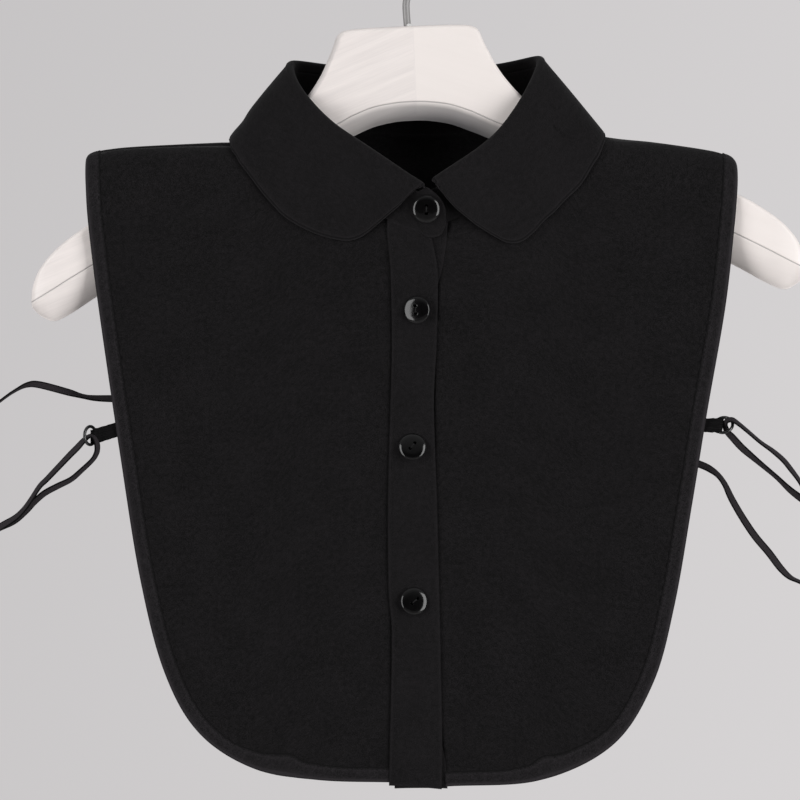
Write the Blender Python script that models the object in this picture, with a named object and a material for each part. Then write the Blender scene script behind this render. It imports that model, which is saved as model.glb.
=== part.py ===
"""A detachable shirt collar: the front, back and collar of a shirt with no sleeves or sides, buttoned
down the front, with an elastic strap at each side, hung on its wooden hanger.

+Z is up, -Y is the garment's front and +X is a viewer's right. The origin is the top of the inside
of the hanger's hook, where it hangs on a rail. Sizes are millimetres, and MM turns them to metres.
The wearer's right is on the viewer's left, and pieces are named for the wearer's side.
"""

import math
from collections import namedtuple

import bmesh
import bpy
from mathutils import Matrix, Vector
from mathutils.geometry import delaunay_2d_cdt

MM = 0.001

# Driving sizes
GAP = 0.3  # between two pieces that touch
PANEL_WALL = 1.2  # a folded and pressed cloth panel
BINDING_WALL = 1.8  # the edge binding: cloth folded round the panel's edge
BINDING_WIDTH = 7.8
PLACKET_WALL = 1.4
COLLAR_WALL = 1.5  # two layers of cloth over interfacing
STAND_WALL = 1.4
STAND_LIFT = 0.9  # of its lower edge from the panels' neckline
ROLL_RADIUS = 1.6  # of the collar's fold, at the middle of its wall
ROLL_LEG = 5.0  # how far the fall reaches down inside the fold, to the stand
BUTTON_RADIUS = 7.05
BUTTON_SINK = 0.45  # from the cloth to the button's back
STRAP_THICK = 2.4
RING_RADIUS = 4.3  # at the middle of the ring's wire
RING_WIRE = 0.7  # radius
HOOK_WIRE = 2.0  # radius
HOOK_INNER = 19.0  # radius of the hook's bend, inside
HANGER_TILT = 2.5  # degrees, the viewer's right arm up
HANGER_HALF = 200.5  # from the hook's line to an arm's tip
NECK_DROP = 60.0  # from the hook's seat down to the board's top
CENTRE_FRONT_X = 4.9  # the garment's centre front, beside the hook's line
SHOULDER_SEAM_RIGHT = 4.0  # how far the back panel comes over the shoulder's fold, in front
SHOULDER_SEAM_LEFT = 0.8

# The shoulder's fold seen from the front: its height over the width of the garment.
RidgeRow = namedtuple("RidgeRow", "x top")
RIDGE = [
    RidgeRow(-170, -134.5),
    RidgeRow(-168, -128.5),
    RidgeRow(-165, -126.0),
    RidgeRow(-160, -124.4),
    RidgeRow(-147, -122.8),
    RidgeRow(-120, -121.3),
    RidgeRow(-100, -120.4),
    RidgeRow(-89, -119.8),
    RidgeRow(-78, -115.9),
    RidgeRow(-70, -109.6),
    RidgeRow(-60, -99.5),
    RidgeRow(-40, -92.0),
    RidgeRow(3, -88.0),
    RidgeRow(45, -90.0),
    RidgeRow(65, -96.8),
    RidgeRow(75, -105.6),
    RidgeRow(84, -111.2),
    RidgeRow(94, -115.7),
    RidgeRow(105, -118.0),
    RidgeRow(125, -120.0),
    RidgeRow(151, -123.7),
    RidgeRow(162, -126.4),
    RidgeRow(167, -130.4),
    RidgeRow(170, -138.0),
]

# The space between the front and the back: half of it where the cloth hangs past the hanger's arm, and
# how far below the fold it is reached.
DepthRow = namedtuple("DepthRow", "x half reach")
DEPTH = [
    DepthRow(-170, 13.2, 40),
    DepthRow(-130, 12.8, 27),
    DepthRow(-100, 12.4, 14),
    DepthRow(-80, 12.0, 10),
    DepthRow(-60, 11.8, 9),
    DepthRow(0, 11.6, 8),
    DepthRow(65, 11.8, 9),
    DepthRow(85, 12.0, 10),
    DepthRow(103, 12.4, 14),
    DepthRow(132, 12.8, 27),
    DepthRow(170, 13.2, 40),
]
HEM_SHARE = 0.65  # of that space is left at the hem
NARROW_FROM = -170.0  # the height where it starts to narrow
NARROW_LENGTH = 280.0
PANEL_COLUMN = 18.0  # between the points of a panel's net
FOLD_COLUMN = 9.0  # and near the shoulder's fold, within this distance of it
FOLD_REACH = 16.0

# The collar holds the cloth away from the hanger round the neck, as a soft dome in front and behind.
DomeRow = namedtuple("DomeRow", "height x z wide tall")
FRONT_DOME = DomeRow(13.0, 5.0, -165.0, 55.0, 50.0)
BACK_DOME = DomeRow(14.0, 2.6, -118.0, 62.0, 55.0)

# The outer edge of the front, from the shoulder down the side and round to the hem's middle.
EdgeRow = namedtuple("EdgeRow", "x z")
RIGHT_EDGE = [
    EdgeRow(-168.7, -131.5),
    EdgeRow(-168.2, -142.0),
    EdgeRow(-166.6, -163.0),
    EdgeRow(-161.4, -205.0),
    EdgeRow(-150.6, -279.4),
    EdgeRow(-140.1, -345.3),
    EdgeRow(-127.6, -393.7),
    EdgeRow(-109.7, -425.1),
    EdgeRow(-81.5, -443.4),
    EdgeRow(-47.9, -449.3),
    EdgeRow(-12.8, -450.4),
]
LEFT_EDGE = [
    EdgeRow(168.4, -134.0),
    EdgeRow(168.0, -143.0),
    EdgeRow(166.2, -163.0),
    EdgeRow(161.5, -205.0),
    EdgeRow(152.0, -260.0),
    EdgeRow(144.6, -306.0),
    EdgeRow(135.5, -359.0),
    EdgeRow(124.4, -399.0),
    EdgeRow(103.5, -430.0),
    EdgeRow(66.0, -448.3),
    EdgeRow(17.6, -451.6),
]
BACK_INSET = 2.5  # the back is this much narrower than the front at each side
BACK_SHORTER = 14.0

# The placket on the wearer's right front, which lies on top.
PlacketRow = namedtuple("PlacketRow", "z left right")
PLACKET = [
    PlacketRow(-161.0, -12.6, 9.2),
    PlacketRow(-170.2, -12.3, 10.0),
    PlacketRow(-177.0, -11.6, 11.9),
    PlacketRow(-188.0, -10.8, 13.9),
    PlacketRow(-224.0, -10.3, 13.4),
    PlacketRow(-254.0, -11.0, 11.6),
    PlacketRow(-304.0, -12.3, 12.9),
    PlacketRow(-351.0, -12.0, 14.1),
    PlacketRow(-372.0, -10.4, 14.6),
    PlacketRow(-437.0, -11.5, 15.8),
    PlacketRow(-452.4, -11.8, 15.4),
]
PLACKET_TOP = (-161.5, -170.4)  # its neck end at the left and the right
PLACKET_HEM = (-451.6, -453.2)
PLACKET_UNDER = (-8.9, 17.2)  # the left and right edge of the band below it
PLACKET_UNDER_TOP = (-170.8, -165.4)  # its neck end there
UNDER_HEM = -452.6
PANEL_MARGIN = -9.4  # where the right front ends, under the placket

# The collar, section by section from the wearer's right front round the neck to the left front. side
# is -1 in front of the shoulder's fold and 1 behind it. fold is (x, y, z), seam is (x, z) on the
# panels' neckline, and edge is the fall's outer edge: (x, z) and how far it lies off the panel.
CollarRow = namedtuple("CollarRow", "side fold seam edge")
COLLAR = [
    CollarRow(-1, (6.7, -31.2, -141.4), (8.0, -168.4), (5.0, -145.2, 10.4)),
    CollarRow(-1, (-1.0, -30.2, -136.3), (-3.0, -165.2), (-5.7, -154.8, 6.4)),
    CollarRow(-1, (-13.4, -27.0, -128.0), (-18.0, -158.4), (-20.1, -165.6, 4.3)),
    CollarRow(-1, (-27.7, -22.0, -118.6), (-34.0, -151.0), (-40.9, -172.7, 3.6)),
    CollarRow(-1, (-40.7, -17.5, -108.9), (-48.0, -143.0), (-61.3, -164.5, 3.0)),
    CollarRow(-1, (-51.5, -13.0, -98.6), (-59.5, -132.5), (-77.3, -148.2, 2.6)),
    CollarRow(-1, (-59.5, -6.8, -89.0), (-66.5, -121.0), (-88.0, -130.8, 2.4)),
    CollarRow(-1, (-63.3, 2.0, -79.5), (-70.2, -110.2), (-92.6, -120.1, 3.0)),
    CollarRow(1, (-60.0, 12.5, -78.0), (-66.0, -112.5), (-87.0, -128.5, 2.6)),
    CollarRow(1, (-42.0, 22.5, -80.5), (-46.0, -113.5), (-62.0, -137.0, 3.4)),
    CollarRow(1, (-20.0, 27.5, -82.5), (-22.0, -114.2), (-31.0, -138.0, 3.8)),
    CollarRow(1, (3.0, 29.0, -83.3), (3.0, -114.5), (3.0, -138.5, 4.0)),
    CollarRow(1, (26.0, 27.5, -82.3), (28.0, -114.2), (37.0, -138.0, 3.8)),
    CollarRow(1, (48.0, 22.5, -79.5), (52.0, -113.0), (68.0, -137.0, 3.4)),
    CollarRow(1, (65.5, 12.5, -75.5), (71.0, -109.5), (92.5, -126.5, 2.6)),
    CollarRow(-1, (68.8, 2.0, -77.0), (75.4, -106.2), (98.3, -117.4, 2.8)),
    CollarRow(-1, (63.5, -6.8, -86.5), (71.0, -118.5), (93.5, -131.5, 3.0)),
    CollarRow(-1, (57.0, -13.0, -96.5), (64.0, -131.5), (83.4, -148.6, 3.0)),
    CollarRow(-1, (46.5, -18.0, -110.5), (53.0, -143.0), (71.5, -160.8, 3.0)),
    CollarRow(-1, (36.0, -22.3, -120.7), (41.0, -151.5), (56.0, -171.5, 3.4)),
    CollarRow(-1, (24.7, -26.3, -129.0), (28.0, -158.6), (38.1, -167.6, 4.2)),
    CollarRow(-1, (15.5, -29.0, -134.8), (14.0, -165.0), (24.0, -155.0, 6.6)),
    CollarRow(-1, (10.3, -29.9, -138.8), (5.0, -168.0), (11.8, -143.2, 10.2)),
]
COLLAR_STEPS = 3  # sections from one row to the next, shared by the panels' necklines

# The stand's two ends at the throat: the right one is round and lies on the left one. Towards them
# the right side comes forward and the left side goes back, by these distances.
THROAT_SECTIONS = 10
LapRow = namedtuple("LapRow", "top bottom")
LAP_RIGHT = LapRow(0.6, 2.0)
LAP_LEFT = LapRow(-1.0, -1.0)
StandRow = namedtuple("StandRow", "x top bottom y_top y_bottom")
STAND_RIGHT_END = [
    StandRow(17.0, -155.0, -162.4, -28.2, -27.4),
    StandRow(16.2, -150.9, -165.2, -28.6, -27.2),
    StandRow(14.0, -147.4, -167.6, -29.0, -27.0),
    StandRow(11.0, -145.6, -169.2, -29.4, -26.9),
]
STAND_LEFT_END = [
    StandRow(3.0, -147.0, -166.6, -26.2, -24.0),
    StandRow(-2.0, -147.2, -167.3, -25.8, -23.7),
]

# The buttons: the top one is on the stand, and the others are on the placket.
ButtonRow = namedtuple("ButtonRow", "x z turn")
STAND_BUTTON = ButtonRow(7.2, -155.5, 0.0)
PLACKET_BUTTONS = [
    ButtonRow(2.3, -206.0, 0.0),
    ButtonRow(0.3, -276.8, -40.0),
    ButtonRow(1.3, -356.6, -50.0),
]
BUTTON_FACES = 24
BUTTON_HOLE_FACES = 8
# The button's turned profile, from the rim of its flat back to the rim of its flat middle in front.
BUTTON_PROFILE = [
    (6.1, 0.0),
    (7.05, 0.9),
    (7.05, 1.7),
    (6.6, 2.35),
    (6.0, 2.45),
    (5.2, 1.75),
    (4.2, 1.4),
]
BUTTON_HOLE_RADIUS = 0.85
BUTTON_HOLE_SPACING = 3.2

# The side rings: their middle beside the hook's seat, and how far each is turned to the front.
RingRow = namedtuple("RingRow", "side x z turn")
RIGHT_RING = RingRow(-1, -160.0, -271.5, 48.0)
LEFT_RING = RingRow(1, 166.3, -266.5, 18.0)
TAB_WALL = 0.8
TAB_LONG = 16.0  # from its sewn end under the binding to its fold
TAB_TALL = 7.0  # at the binding
TAB_TALL_AT_RING = 5.4
TAB_EYE = (1.9, 1.1)  # half of the space in its fold, along it and across
# The straps, from inside the back binding, round and in through the ring, to the slider.
RIGHT_STRAP = [
    (-138.0, 9.9, -252.4),
    (-150.3, 9.5, -252.4),
    (-159.9, 9.0, -252.1),
    (-173.8, 7.4, -249.0),
    (-188.2, 5.4, -245.4),
    (-194.4, 4.5, -245.4),
    (-207.3, 2.6, -253.1),
    (-215.5, 1.3, -260.0),
    (-227.0, -1.2, -282.0),
    (-229.0, -2.8, -300.0),
    (-228.8, -4.4, -315.0),
    (-226.6, -6.0, -324.6),
    (-222.4, -7.2, -328.2),
    (-218.4, -7.9, -326.2),
    (-214.5, -8.7, -323.2),
    (-207.2, -9.7, -318.5),
    (-199.0, -10.5, -313.4),
    (-194.4, -11.0, -308.7),
    (-190.8, -11.6, -303.6),
    (-186.6, -12.4, -297.4),
    (-182.5, -13.4, -293.4),
    (-171.4, -16.4, -281.8),
    (-166.8, -18.0, -277.2),
    (-163.0, -18.8, -273.6),
    (-160.6, -17.2, -271.6),
    (-161.1, -14.2, -271.2),
    (-163.2, -11.8, -272.4),
    (-162.4, -10.0, -275.6),
    (-159.4, -9.2, -279.4),
    (-160.6, -9.2, -284.0),
    (-165.5, -9.4, -289.2),
    (-179.6, -9.2, -298.4),
    (-185.1, -8.6, -302.0),
    (-190.8, -7.9, -306.2),
    (-194.4, -7.3, -310.3),
    (-200.4, -6.4, -315.0),
    (-204.6, -5.8, -318.2),
]
LEFT_STRAP = [
    (143.0, 8.9, -284.0),
    (153.3, 8.7, -287.6),
    (163.1, 8.0, -295.6),
    (167.7, 7.4, -303.3),
    (181.1, 5.0, -324.5),
    (194.2, 2.9, -340.7),
    (204.9, 1.0, -349.4),
    (212.5, -0.6, -352.8),
    (220.5, -2.4, -353.0),
    (227.0, -4.2, -349.0),
    (230.4, -6.0, -341.0),
    (229.6, -7.8, -332.0),
    (219.0, -10.6, -317.6),
    (212.0, -11.6, -308.0),
    (204.8, -12.8, -295.4),
    (200.1, -13.4, -288.7),
    (196.0, -13.8, -283.5),
    (190.4, -14.3, -279.2),
    (184.2, -14.8, -274.8),
    (177.4, -15.3, -268.6),
    (172.6, -15.6, -264.9),
    (169.2, -15.0, -264.4),
    (168.0, -12.6, -266.2),
    (168.2, -9.6, -268.6),
    (170.4, -8.0, -272.2),
    (175.0, -7.6, -277.4),
    (181.0, -7.6, -282.6),
    (193.4, -8.0, -293.0),
    (199.1, -8.2, -299.0),
    (204.8, -8.0, -304.8),
    (208.0, -7.6, -308.4),
]
STRAP_STEPS = 2
# A slider's middle, and the way that the strap runs through it.
SliderRow = namedtuple("SliderRow", "name middle along")
SLIDERS = [
    SliderRow("slider_right", (-214.5, -11.0, -323.0), (-0.85, 0.15, -0.53)),
    SliderRow("slider_left", (217.0, -13.8, -315.3), (0.64, 0.16, -0.75)),
]
SLIDER_LONG = 9.6
SLIDER_WIDE = 8.4
SLIDER_THICK = 1.3
SLIDER_BAR = 1.3

# The hanger's board, from its middle out to the tip of one arm: the top, the line where the upright
# face ends, the bottom of the slanted lower face, and half of the thickness.
BoardRow = namedtuple("BoardRow", "x top line bottom half")
BOARD = [
    BoardRow(0.0, -60.0, -99.2, -108.6, 7.0),
    BoardRow(9.0, -60.0, -99.6, -109.0, 7.0),
    BoardRow(20.0, -60.1, -101.4, -111.2, 7.1),
    BoardRow(30.0, -60.6, -105.0, -115.2, 7.2),
    BoardRow(34.0, -61.6, -106.9, -116.9, 7.2),
    BoardRow(36.8, -64.0, -108.3, -118.2, 7.2),
    BoardRow(39.2, -70.0, -109.5, -119.3, 7.2),
    BoardRow(41.8, -75.6, -110.8, -120.5, 7.3),
    BoardRow(45.0, -82.2, -112.2, -121.9, 7.4),
    BoardRow(49.5, -89.2, -114.2, -124.1, 7.5),
    BoardRow(55.5, -96.6, -117.0, -127.4, 7.6),
    BoardRow(65.0, -106.2, -121.8, -132.8, 7.6),
    BoardRow(78.0, -115.6, -128.8, -140.4, 7.7),
    BoardRow(100.0, -126.0, -140.6, -153.4, 8.1),
    BoardRow(130.0, -139.0, -156.4, -171.2, 8.8),
    BoardRow(150.0, -147.3, -167.0, -182.8, 9.3),
    BoardRow(167.6, -154.9, -176.3, -193.0, 9.7),
    BoardRow(180.0, -162.6, -183.0, -200.4, 9.9),
    BoardRow(189.0, -170.0, -188.2, -204.2, 10.0),
    BoardRow(195.6, -178.0, -191.8, -201.6, 9.0),
    BoardRow(199.2, -186.0, -193.6, -198.2, 7.0),
]
HOOK_HOLE_DEPTH = 14.0
HOOK_STRAIGHT = 13.0  # of the shank above the board


# ---------------------------------------------------------------------------------------------
# Shapes shared by the pieces


def colour_of(name, colour, rough, metal=0.0):
    """A plain material with a Principled BSDF, made once and shared by name."""
    made = bpy.data.materials.get(name)
    if made is None:
        made = bpy.data.materials.new(name)
        made.use_nodes = True
        shader = made.node_tree.nodes["Principled BSDF"]
        shader.inputs["Base Color"].default_value = (*colour, 1.0)
        shader.inputs["Roughness"].default_value = rough
        shader.inputs["Metallic"].default_value = metal
    return made


def cloth_colour():
    return colour_of("black_cloth", (0.012, 0.011, 0.012), 0.85)


def binding_colour():
    return colour_of("black_binding", (0.016, 0.015, 0.016), 0.8)


def gloss_black():
    return colour_of("black_gloss", (0.006, 0.006, 0.006), 0.15)


def black_metal():
    return colour_of("black_metal", (0.02, 0.02, 0.022), 0.25, 1.0)


def elastic_colour():
    return colour_of("black_elastic", (0.01, 0.01, 0.011), 0.7)


def wood_colour():
    return colour_of("white_wood", (0.86, 0.83, 0.79), 0.5)


def chrome_colour():
    return colour_of("chrome", (0.75, 0.75, 0.76), 0.12, 1.0)


def add_mesh(name, points, faces, material):
    """A new object from points in millimetres, with its doubles joined and its faces turned out."""
    work = bmesh.new()
    made = [work.verts.new(Vector(p) * MM) for p in points]
    for face in faces:
        work.faces.new([made[i] for i in face])
    bmesh.ops.recalc_face_normals(work, faces=work.faces)
    mesh = bpy.data.meshes.new(name)
    work.to_mesh(mesh)
    work.free()
    mesh.materials.append(material)
    mesh.shade_smooth()
    mesh.set_sharp_from_angle(angle=math.radians(38))
    piece = bpy.data.objects.new(name, mesh)
    bpy.context.collection.objects.link(piece)
    return piece


def cut_away(piece, cutters):
    """Takes the cutters' shapes out of the piece."""
    for cutter in cutters:
        cutter.hide_render = True
        cutter.display_type = "WIRE"
        cut = piece.modifiers.new("cut", "BOOLEAN")
        cut.operation = "DIFFERENCE"
        cut.solver = "EXACT"
        cut.object = cutter


def cubic(rows, at, key, value):
    """The value at one place in a table, on a smooth curve through its rows."""
    keys = [getattr(row, key) for row in rows]
    values = [getattr(row, value) for row in rows]
    at = min(max(at, keys[0]), keys[-1])
    i = max(k for k in range(len(keys) - 1) if keys[k] <= at or k == 0)

    def slope(k):
        before, after = max(k - 1, 0), min(k + 1, len(keys) - 1)
        return (values[after] - values[before]) / (keys[after] - keys[before])

    span = keys[i + 1] - keys[i]
    t = (at - keys[i]) / span
    a, b = slope(i) * span, slope(i + 1) * span
    rise = values[i + 1] - values[i]
    return values[i] + t * a + t * t * (3 * rise - 2 * a - b) + t**3 * (a + b - 2 * rise)


def through(points, steps):
    """A smooth curve through the points, with the same steps between each two of them."""
    points = [Vector(p) for p in points]
    ends = [2 * points[0] - points[1], *points, 2 * points[-1] - points[-2]]
    out = []
    for a, b, c, d in zip(ends, ends[1:], ends[2:], ends[3:]):
        for k in range(steps):
            t = k / steps
            bend = (2 * a - 5 * b + 4 * c - d) * t * t + (3 * b - a - 3 * c + d) * t**3
            out.append(0.5 * (2 * b + (c - a) * t + bend))
    return [*out, points[-1]]


def smooth_line(points, count):
    """Points evenly spaced along a smooth curve through the given ones."""
    fine = through(points, 12)
    far = [0.0]
    for a, b in zip(fine, fine[1:]):
        far.append(far[-1] + (b - a).length)
    out = []
    k = 0
    for n in range(count):
        want = far[-1] * n / (count - 1)
        while k < len(far) - 2 and far[k + 1] < want:
            k += 1
        part = (want - far[k]) / (far[k + 1] - far[k])
        out.append(fine[k].lerp(fine[k + 1], part))
    return out


def thickened(grid, thickness):
    """The outer and inner layers of a wall round a grid of points, rows by columns."""
    rows, columns = len(grid), len(grid[0])
    outer, inner = [], []
    for i in range(rows):
        outer.append([])
        inner.append([])
        for j in range(columns):
            down = grid[min(i + 1, rows - 1)][j] - grid[max(i - 1, 0)][j]
            across = grid[i][min(j + 1, columns - 1)] - grid[i][max(j - 1, 0)]
            out = down.cross(across).normalized() * (thickness / 2)
            outer[i].append(grid[i][j] + out)
            inner[i].append(grid[i][j] - out)
    return outer, inner


def wall(name, layers, material):
    """A closed solid between two grids of points, with as many rows and columns in each."""
    rows, columns = len(layers[0]), len(layers[0][0])
    points = [p for layer in layers for row in layer for p in row]
    back = rows * columns
    faces = []
    for i in range(rows - 1):
        for j in range(columns - 1):
            a, b = i * columns + j, i * columns + j + 1
            c, d = a + columns, b + columns
            faces.append((a, b, d, c))
            faces.append((back + a, back + c, back + d, back + b))
    rim = [j for j in range(columns)]
    rim += [i * columns + columns - 1 for i in range(1, rows)]
    rim += [(rows - 1) * columns + j for j in range(columns - 2, -1, -1)]
    rim += [i * columns for i in range(rows - 2, 0, -1)]
    for a, b in zip(rim, rim[1:] + rim[:1]):
        faces.append((a, back + a, back + b, b))
    return add_mesh(name, points, faces, material)


# ---------------------------------------------------------------------------------------------
# The cloth's drape: (x, s) is a place on the flat garment, x across and s down the front from the
# shoulder's fold. A negative s goes down the back.


def drape(x, s):
    """The point of the middle of the cloth over a place on the flat garment."""
    reach = cubic(DEPTH, x, "x", "reach")
    along = abs(s)
    if along < reach:
        turn = math.pi / 2 * along / reach
        down, spread = reach * (1 - math.cos(turn)), math.sin(turn)
    else:
        down, spread = along, 1.0
    z = cubic(RIDGE, x, "x", "top") - down
    t = min(max((NARROW_FROM - z) / NARROW_LENGTH, 0.0), 1.0)
    narrow = 1 - (1 - HEM_SHARE) * t * t * (3 - 2 * t)
    dome = FRONT_DOME if s > 0 else BACK_DOME
    pushed = dome.height * math.exp(
        -(((x - dome.x) / dome.wide) ** 2) - ((z - dome.z) / dome.tall) ** 2
    )
    away = (cubic(DEPTH, x, "x", "half") * narrow + pushed) * spread
    return Vector((x, -away if s > 0 else away, z))


def out_from(x, s):
    """The direction out of the cloth at that place."""
    step = 0.5
    across = drape(x + step, s) - drape(x - step, s)
    down = drape(x, s + step) - drape(x, s - step)
    return down.cross(across).normalized()


def laid(x, s, level=0.0):
    """A point of a piece that lies on the cloth, at a level above the middle of the panels."""
    return drape(x, s) + out_from(x, s) * level + Vector((CENTRE_FRONT_X, 0, 0))


def flat_place(x, z, side):
    """The place on the flat garment whose height is z, in front or behind."""
    down = max(cubic(RIDGE, x, "x", "top") - z, 0.0)
    reach = cubic(DEPTH, x, "x", "reach")
    if down < reach:
        down = reach * math.acos(1 - down / reach) * 2 / math.pi
    return Vector((x, -side * down))


def panel(name, outline, rows_at, material):
    """A cloth panel: its flat outline filled with a triangle net, draped, with a wall's thickness."""
    count = len(outline)

    def inside(x, s, margin):
        crossings = 0
        for a, b in zip(outline, outline[1:] + outline[:1]):
            if (a.y > s) != (b.y > s):
                crossings += a.x + (s - a.y) / (b.y - a.y) * (b.x - a.x) > x
            edge = b - a
            t = min(max((Vector((x, s)) - a).dot(edge) / edge.length_squared, 0), 1)
            if (a + edge * t - Vector((x, s))).length < margin:
                return False
        return crossings % 2 == 1

    spots = list(outline)
    low, high = min(p.x for p in outline), max(p.x for p in outline)
    for k, s in enumerate(rows_at):
        step = FOLD_COLUMN if abs(s) < FOLD_REACH else PANEL_COLUMN
        x = low + step * (0.5 if k % 2 else 1.0)
        while x < high:
            if inside(x, s, 2.8):
                spots.append(Vector((x, s)))
            x += step
    edges = [(i, (i + 1) % count) for i in range(count)]
    flat, _, triangles, *_ = delaunay_2d_cdt(spots, edges, [], 1, 1e-4)
    points = []
    for sign in (0.5, -0.5):
        points += [laid(p.x, p.y, sign * PANEL_WALL) for p in flat]
    back = len(flat)
    faces = []
    sides = {}
    for face in triangles:
        faces.append(tuple(face))
        faces.append(tuple(back + i for i in reversed(face)))
        for a, b in zip(face, face[1:] + face[:1]):
            sides[(a, b)] = True
    for a, b in sides:
        if (b, a) not in sides:
            faces.append((b, a, back + a, back + b))
    return add_mesh(name, points, faces, material)


def strip(name, outer, inner, thickness, level, material, columns=2):
    """A cloth strip between two lines on the flat garment, with as many points in each."""
    layers = []
    for height in (level + thickness / 2, level - thickness / 2):
        layers.append([])
        for a, b in zip(outer, inner):
            across = [a.lerp(b, j / columns) for j in range(columns + 1)]
            layers[-1].append([laid(p.x, p.y, height) for p in across])
    return wall(name, layers, material)


def beside(line, distance):
    """A flat line moved to its left by a distance."""
    out = []
    for i, p in enumerate(line):
        ahead = (line[min(i + 1, len(line) - 1)] - line[max(i - 1, 0)]).normalized()
        out.append(p + Vector((-ahead.y, ahead.x)) * distance)
    return out


# ---------------------------------------------------------------------------------------------
# The garment's outlines on the flat


def garment_edge(rows, side):
    """One half of the outer edge, from the front hem over the shoulder's fold to the back hem."""
    front = smooth_line([(row.x, row.z, 0) for row in rows], 40)
    front = [flat_place(p.x, p.y, -1) for p in front]
    front[0].y = 0.0
    back = []
    for row in rows:
        share = min(max((-128.0 - row.z) / 60.0, 0.0), 1.0)
        x = row.x - side * BACK_INSET * share
        z = row.z + BACK_SHORTER * min(max((-300.0 - row.z) / 140.0, 0.0), 1.0)
        back.append((x, z, 0))
    back[-1] = (0.0, back[-1][1], 0)
    back = [flat_place(p.x, p.y, 1) for p in smooth_line(back, 40)]
    back[0].y = 0.0
    whole = [(p.x, p.y, 0) for p in reversed(front)] + [(p.x, p.y, 0) for p in back[1:]]
    return [p.xy for p in smooth_line(whole, 73)]


def split_at(line, s):
    """The part of a flat line before it crosses a height s, and the part after it, with the crossing."""
    for i in range(len(line) - 1):
        a, b = line[i], line[i + 1]
        if (a.y - s) * (b.y - s) <= 0 and a.y != b.y:
            crossing = a.lerp(b, (s - a.y) / (b.y - a.y))
            before = line[: i + 1] if (line[i] - crossing).length > 1 else line[:i]
            after = line[i + 1 :] if (line[i + 1] - crossing).length > 1 else line[i + 2 :]
            return [*before, crossing], [crossing, *after]
    raise ValueError("the line doesn't cross that height")


def neck_places():
    """The neck seam on the flat garment, at each section of the collar."""
    rows = [flat_place(*row.seam, row.side).to_3d() for row in COLLAR]
    return [p.xy for p in through(rows, COLLAR_STEPS)]


# ---------------------------------------------------------------------------------------------
# Panels, bindings and plackets


def resample(line, count):
    return [p.xy for p in smooth_line([(p.x, p.y, 0) for p in line], count)]


def shoulder_line(corner, start):
    """The shoulder seam in from its outer corner, at every few millimetres, to the neck."""
    step = 6.0
    low, high = sorted((corner.x, start.x))
    first = int(low // step) + 1
    spots = [Vector((k * step, start.y)) for k in range(first, int(high // step) + 1)]
    spots = [p for p in spots if low + 1.5 < p.x < high - 1.5]
    spots.sort(key=lambda p: abs(p.x - corner.x))
    return [*spots, start]


def add_front(name, rows, side, shoulder, centre_x, neck_z):
    """One front panel and its binding, up to its shoulder seam."""
    edge, _ = split_at(garment_edge(rows, side), shoulder + GAP)
    outer = resample(edge, 36)
    inner = beside(outer, -side * BINDING_WIDTH)
    panel_edge = beside(outer, -side * (BINDING_WIDTH + GAP))
    for line in (inner, panel_edge):
        line[0].x = outer[0].x
        line[-1].y = outer[-1].y
    strip(f"binding_{name}", outer, inner, BINDING_WALL, 0.0, binding_colour())

    outline = [p for p in panel_edge if side * (p.x - centre_x) > 3]
    hem = outline[0].y
    neck = [p for p in neck_places() if p.y > shoulder + GAP]
    neck = [p for p in neck if side * (p.x - centre_x) > 1]
    neck.sort(key=lambda p: -side * p.x)
    start = Vector((neck[0].x + side * 0.5, shoulder + GAP))
    outline += shoulder_line(panel_edge[-1], start)
    if neck[0].y - start.y < 2.5:
        neck = neck[1:]
    outline += neck
    top = flat_place(centre_x, neck_z, -1).y
    outline += [Vector((centre_x, top + (hem - top) * k / 18)) for k in range(19)]
    rows_at = [5, 9, 14, 21, 31, 44, *range(60, 345, 20)]
    panel(f"front_panel_{name.split('_')[-1]}", outline, rows_at, cloth_colour())


def add_back():
    """The back panel and its binding, which both come over the shoulders' folds."""
    _, right = split_at(garment_edge(RIGHT_EDGE, -1), SHOULDER_SEAM_RIGHT)
    _, left = split_at(garment_edge(LEFT_EDGE, 1), SHOULDER_SEAM_LEFT)
    outer = resample(right + left[-2::-1], 60)
    inner = beside(outer, BINDING_WIDTH)
    outline = beside(outer, BINDING_WIDTH + GAP)
    for line in (inner, outline):
        line[0].y = outer[0].y
        line[-1].y = outer[-1].y
    strip("binding_back", outer, inner, BINDING_WALL, 0.0, binding_colour())

    neck = neck_places()
    first = next(k for k, p in enumerate(neck) if p.y < SHOULDER_SEAM_RIGHT)
    last = max(k for k, p in enumerate(neck) if p.y < SHOULDER_SEAM_LEFT)
    neck = neck[first : last + 1]
    right_corner = Vector((neck[0].x - 0.3, SHOULDER_SEAM_RIGHT))
    left_corner = Vector((neck[-1].x + 0.3, SHOULDER_SEAM_LEFT))
    if right_corner.y - neck[0].y < 2:
        neck = neck[1:]
    if left_corner.y - neck[-1].y < 2:
        neck = neck[:-1]
    first = outline[0]
    outline += shoulder_line(outline[-1], left_corner)
    outline += neck[::-1]
    outline += shoulder_line(first, right_corner)[::-1]
    rows_at = [1, -3, -7, -11, -16, -23, -34, -48, *range(-66, -330, -20)]
    panel("back_panel", outline, rows_at, cloth_colour())


def add_body():
    add_front("front_right", RIGHT_EDGE, -1, SHOULDER_SEAM_RIGHT, PANEL_MARGIN, -162.5)
    add_front("front_left", LEFT_EDGE, 1, SHOULDER_SEAM_LEFT, PLACKET_UNDER[1] + GAP, -163.8)
    add_back()
    add_plackets()


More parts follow.
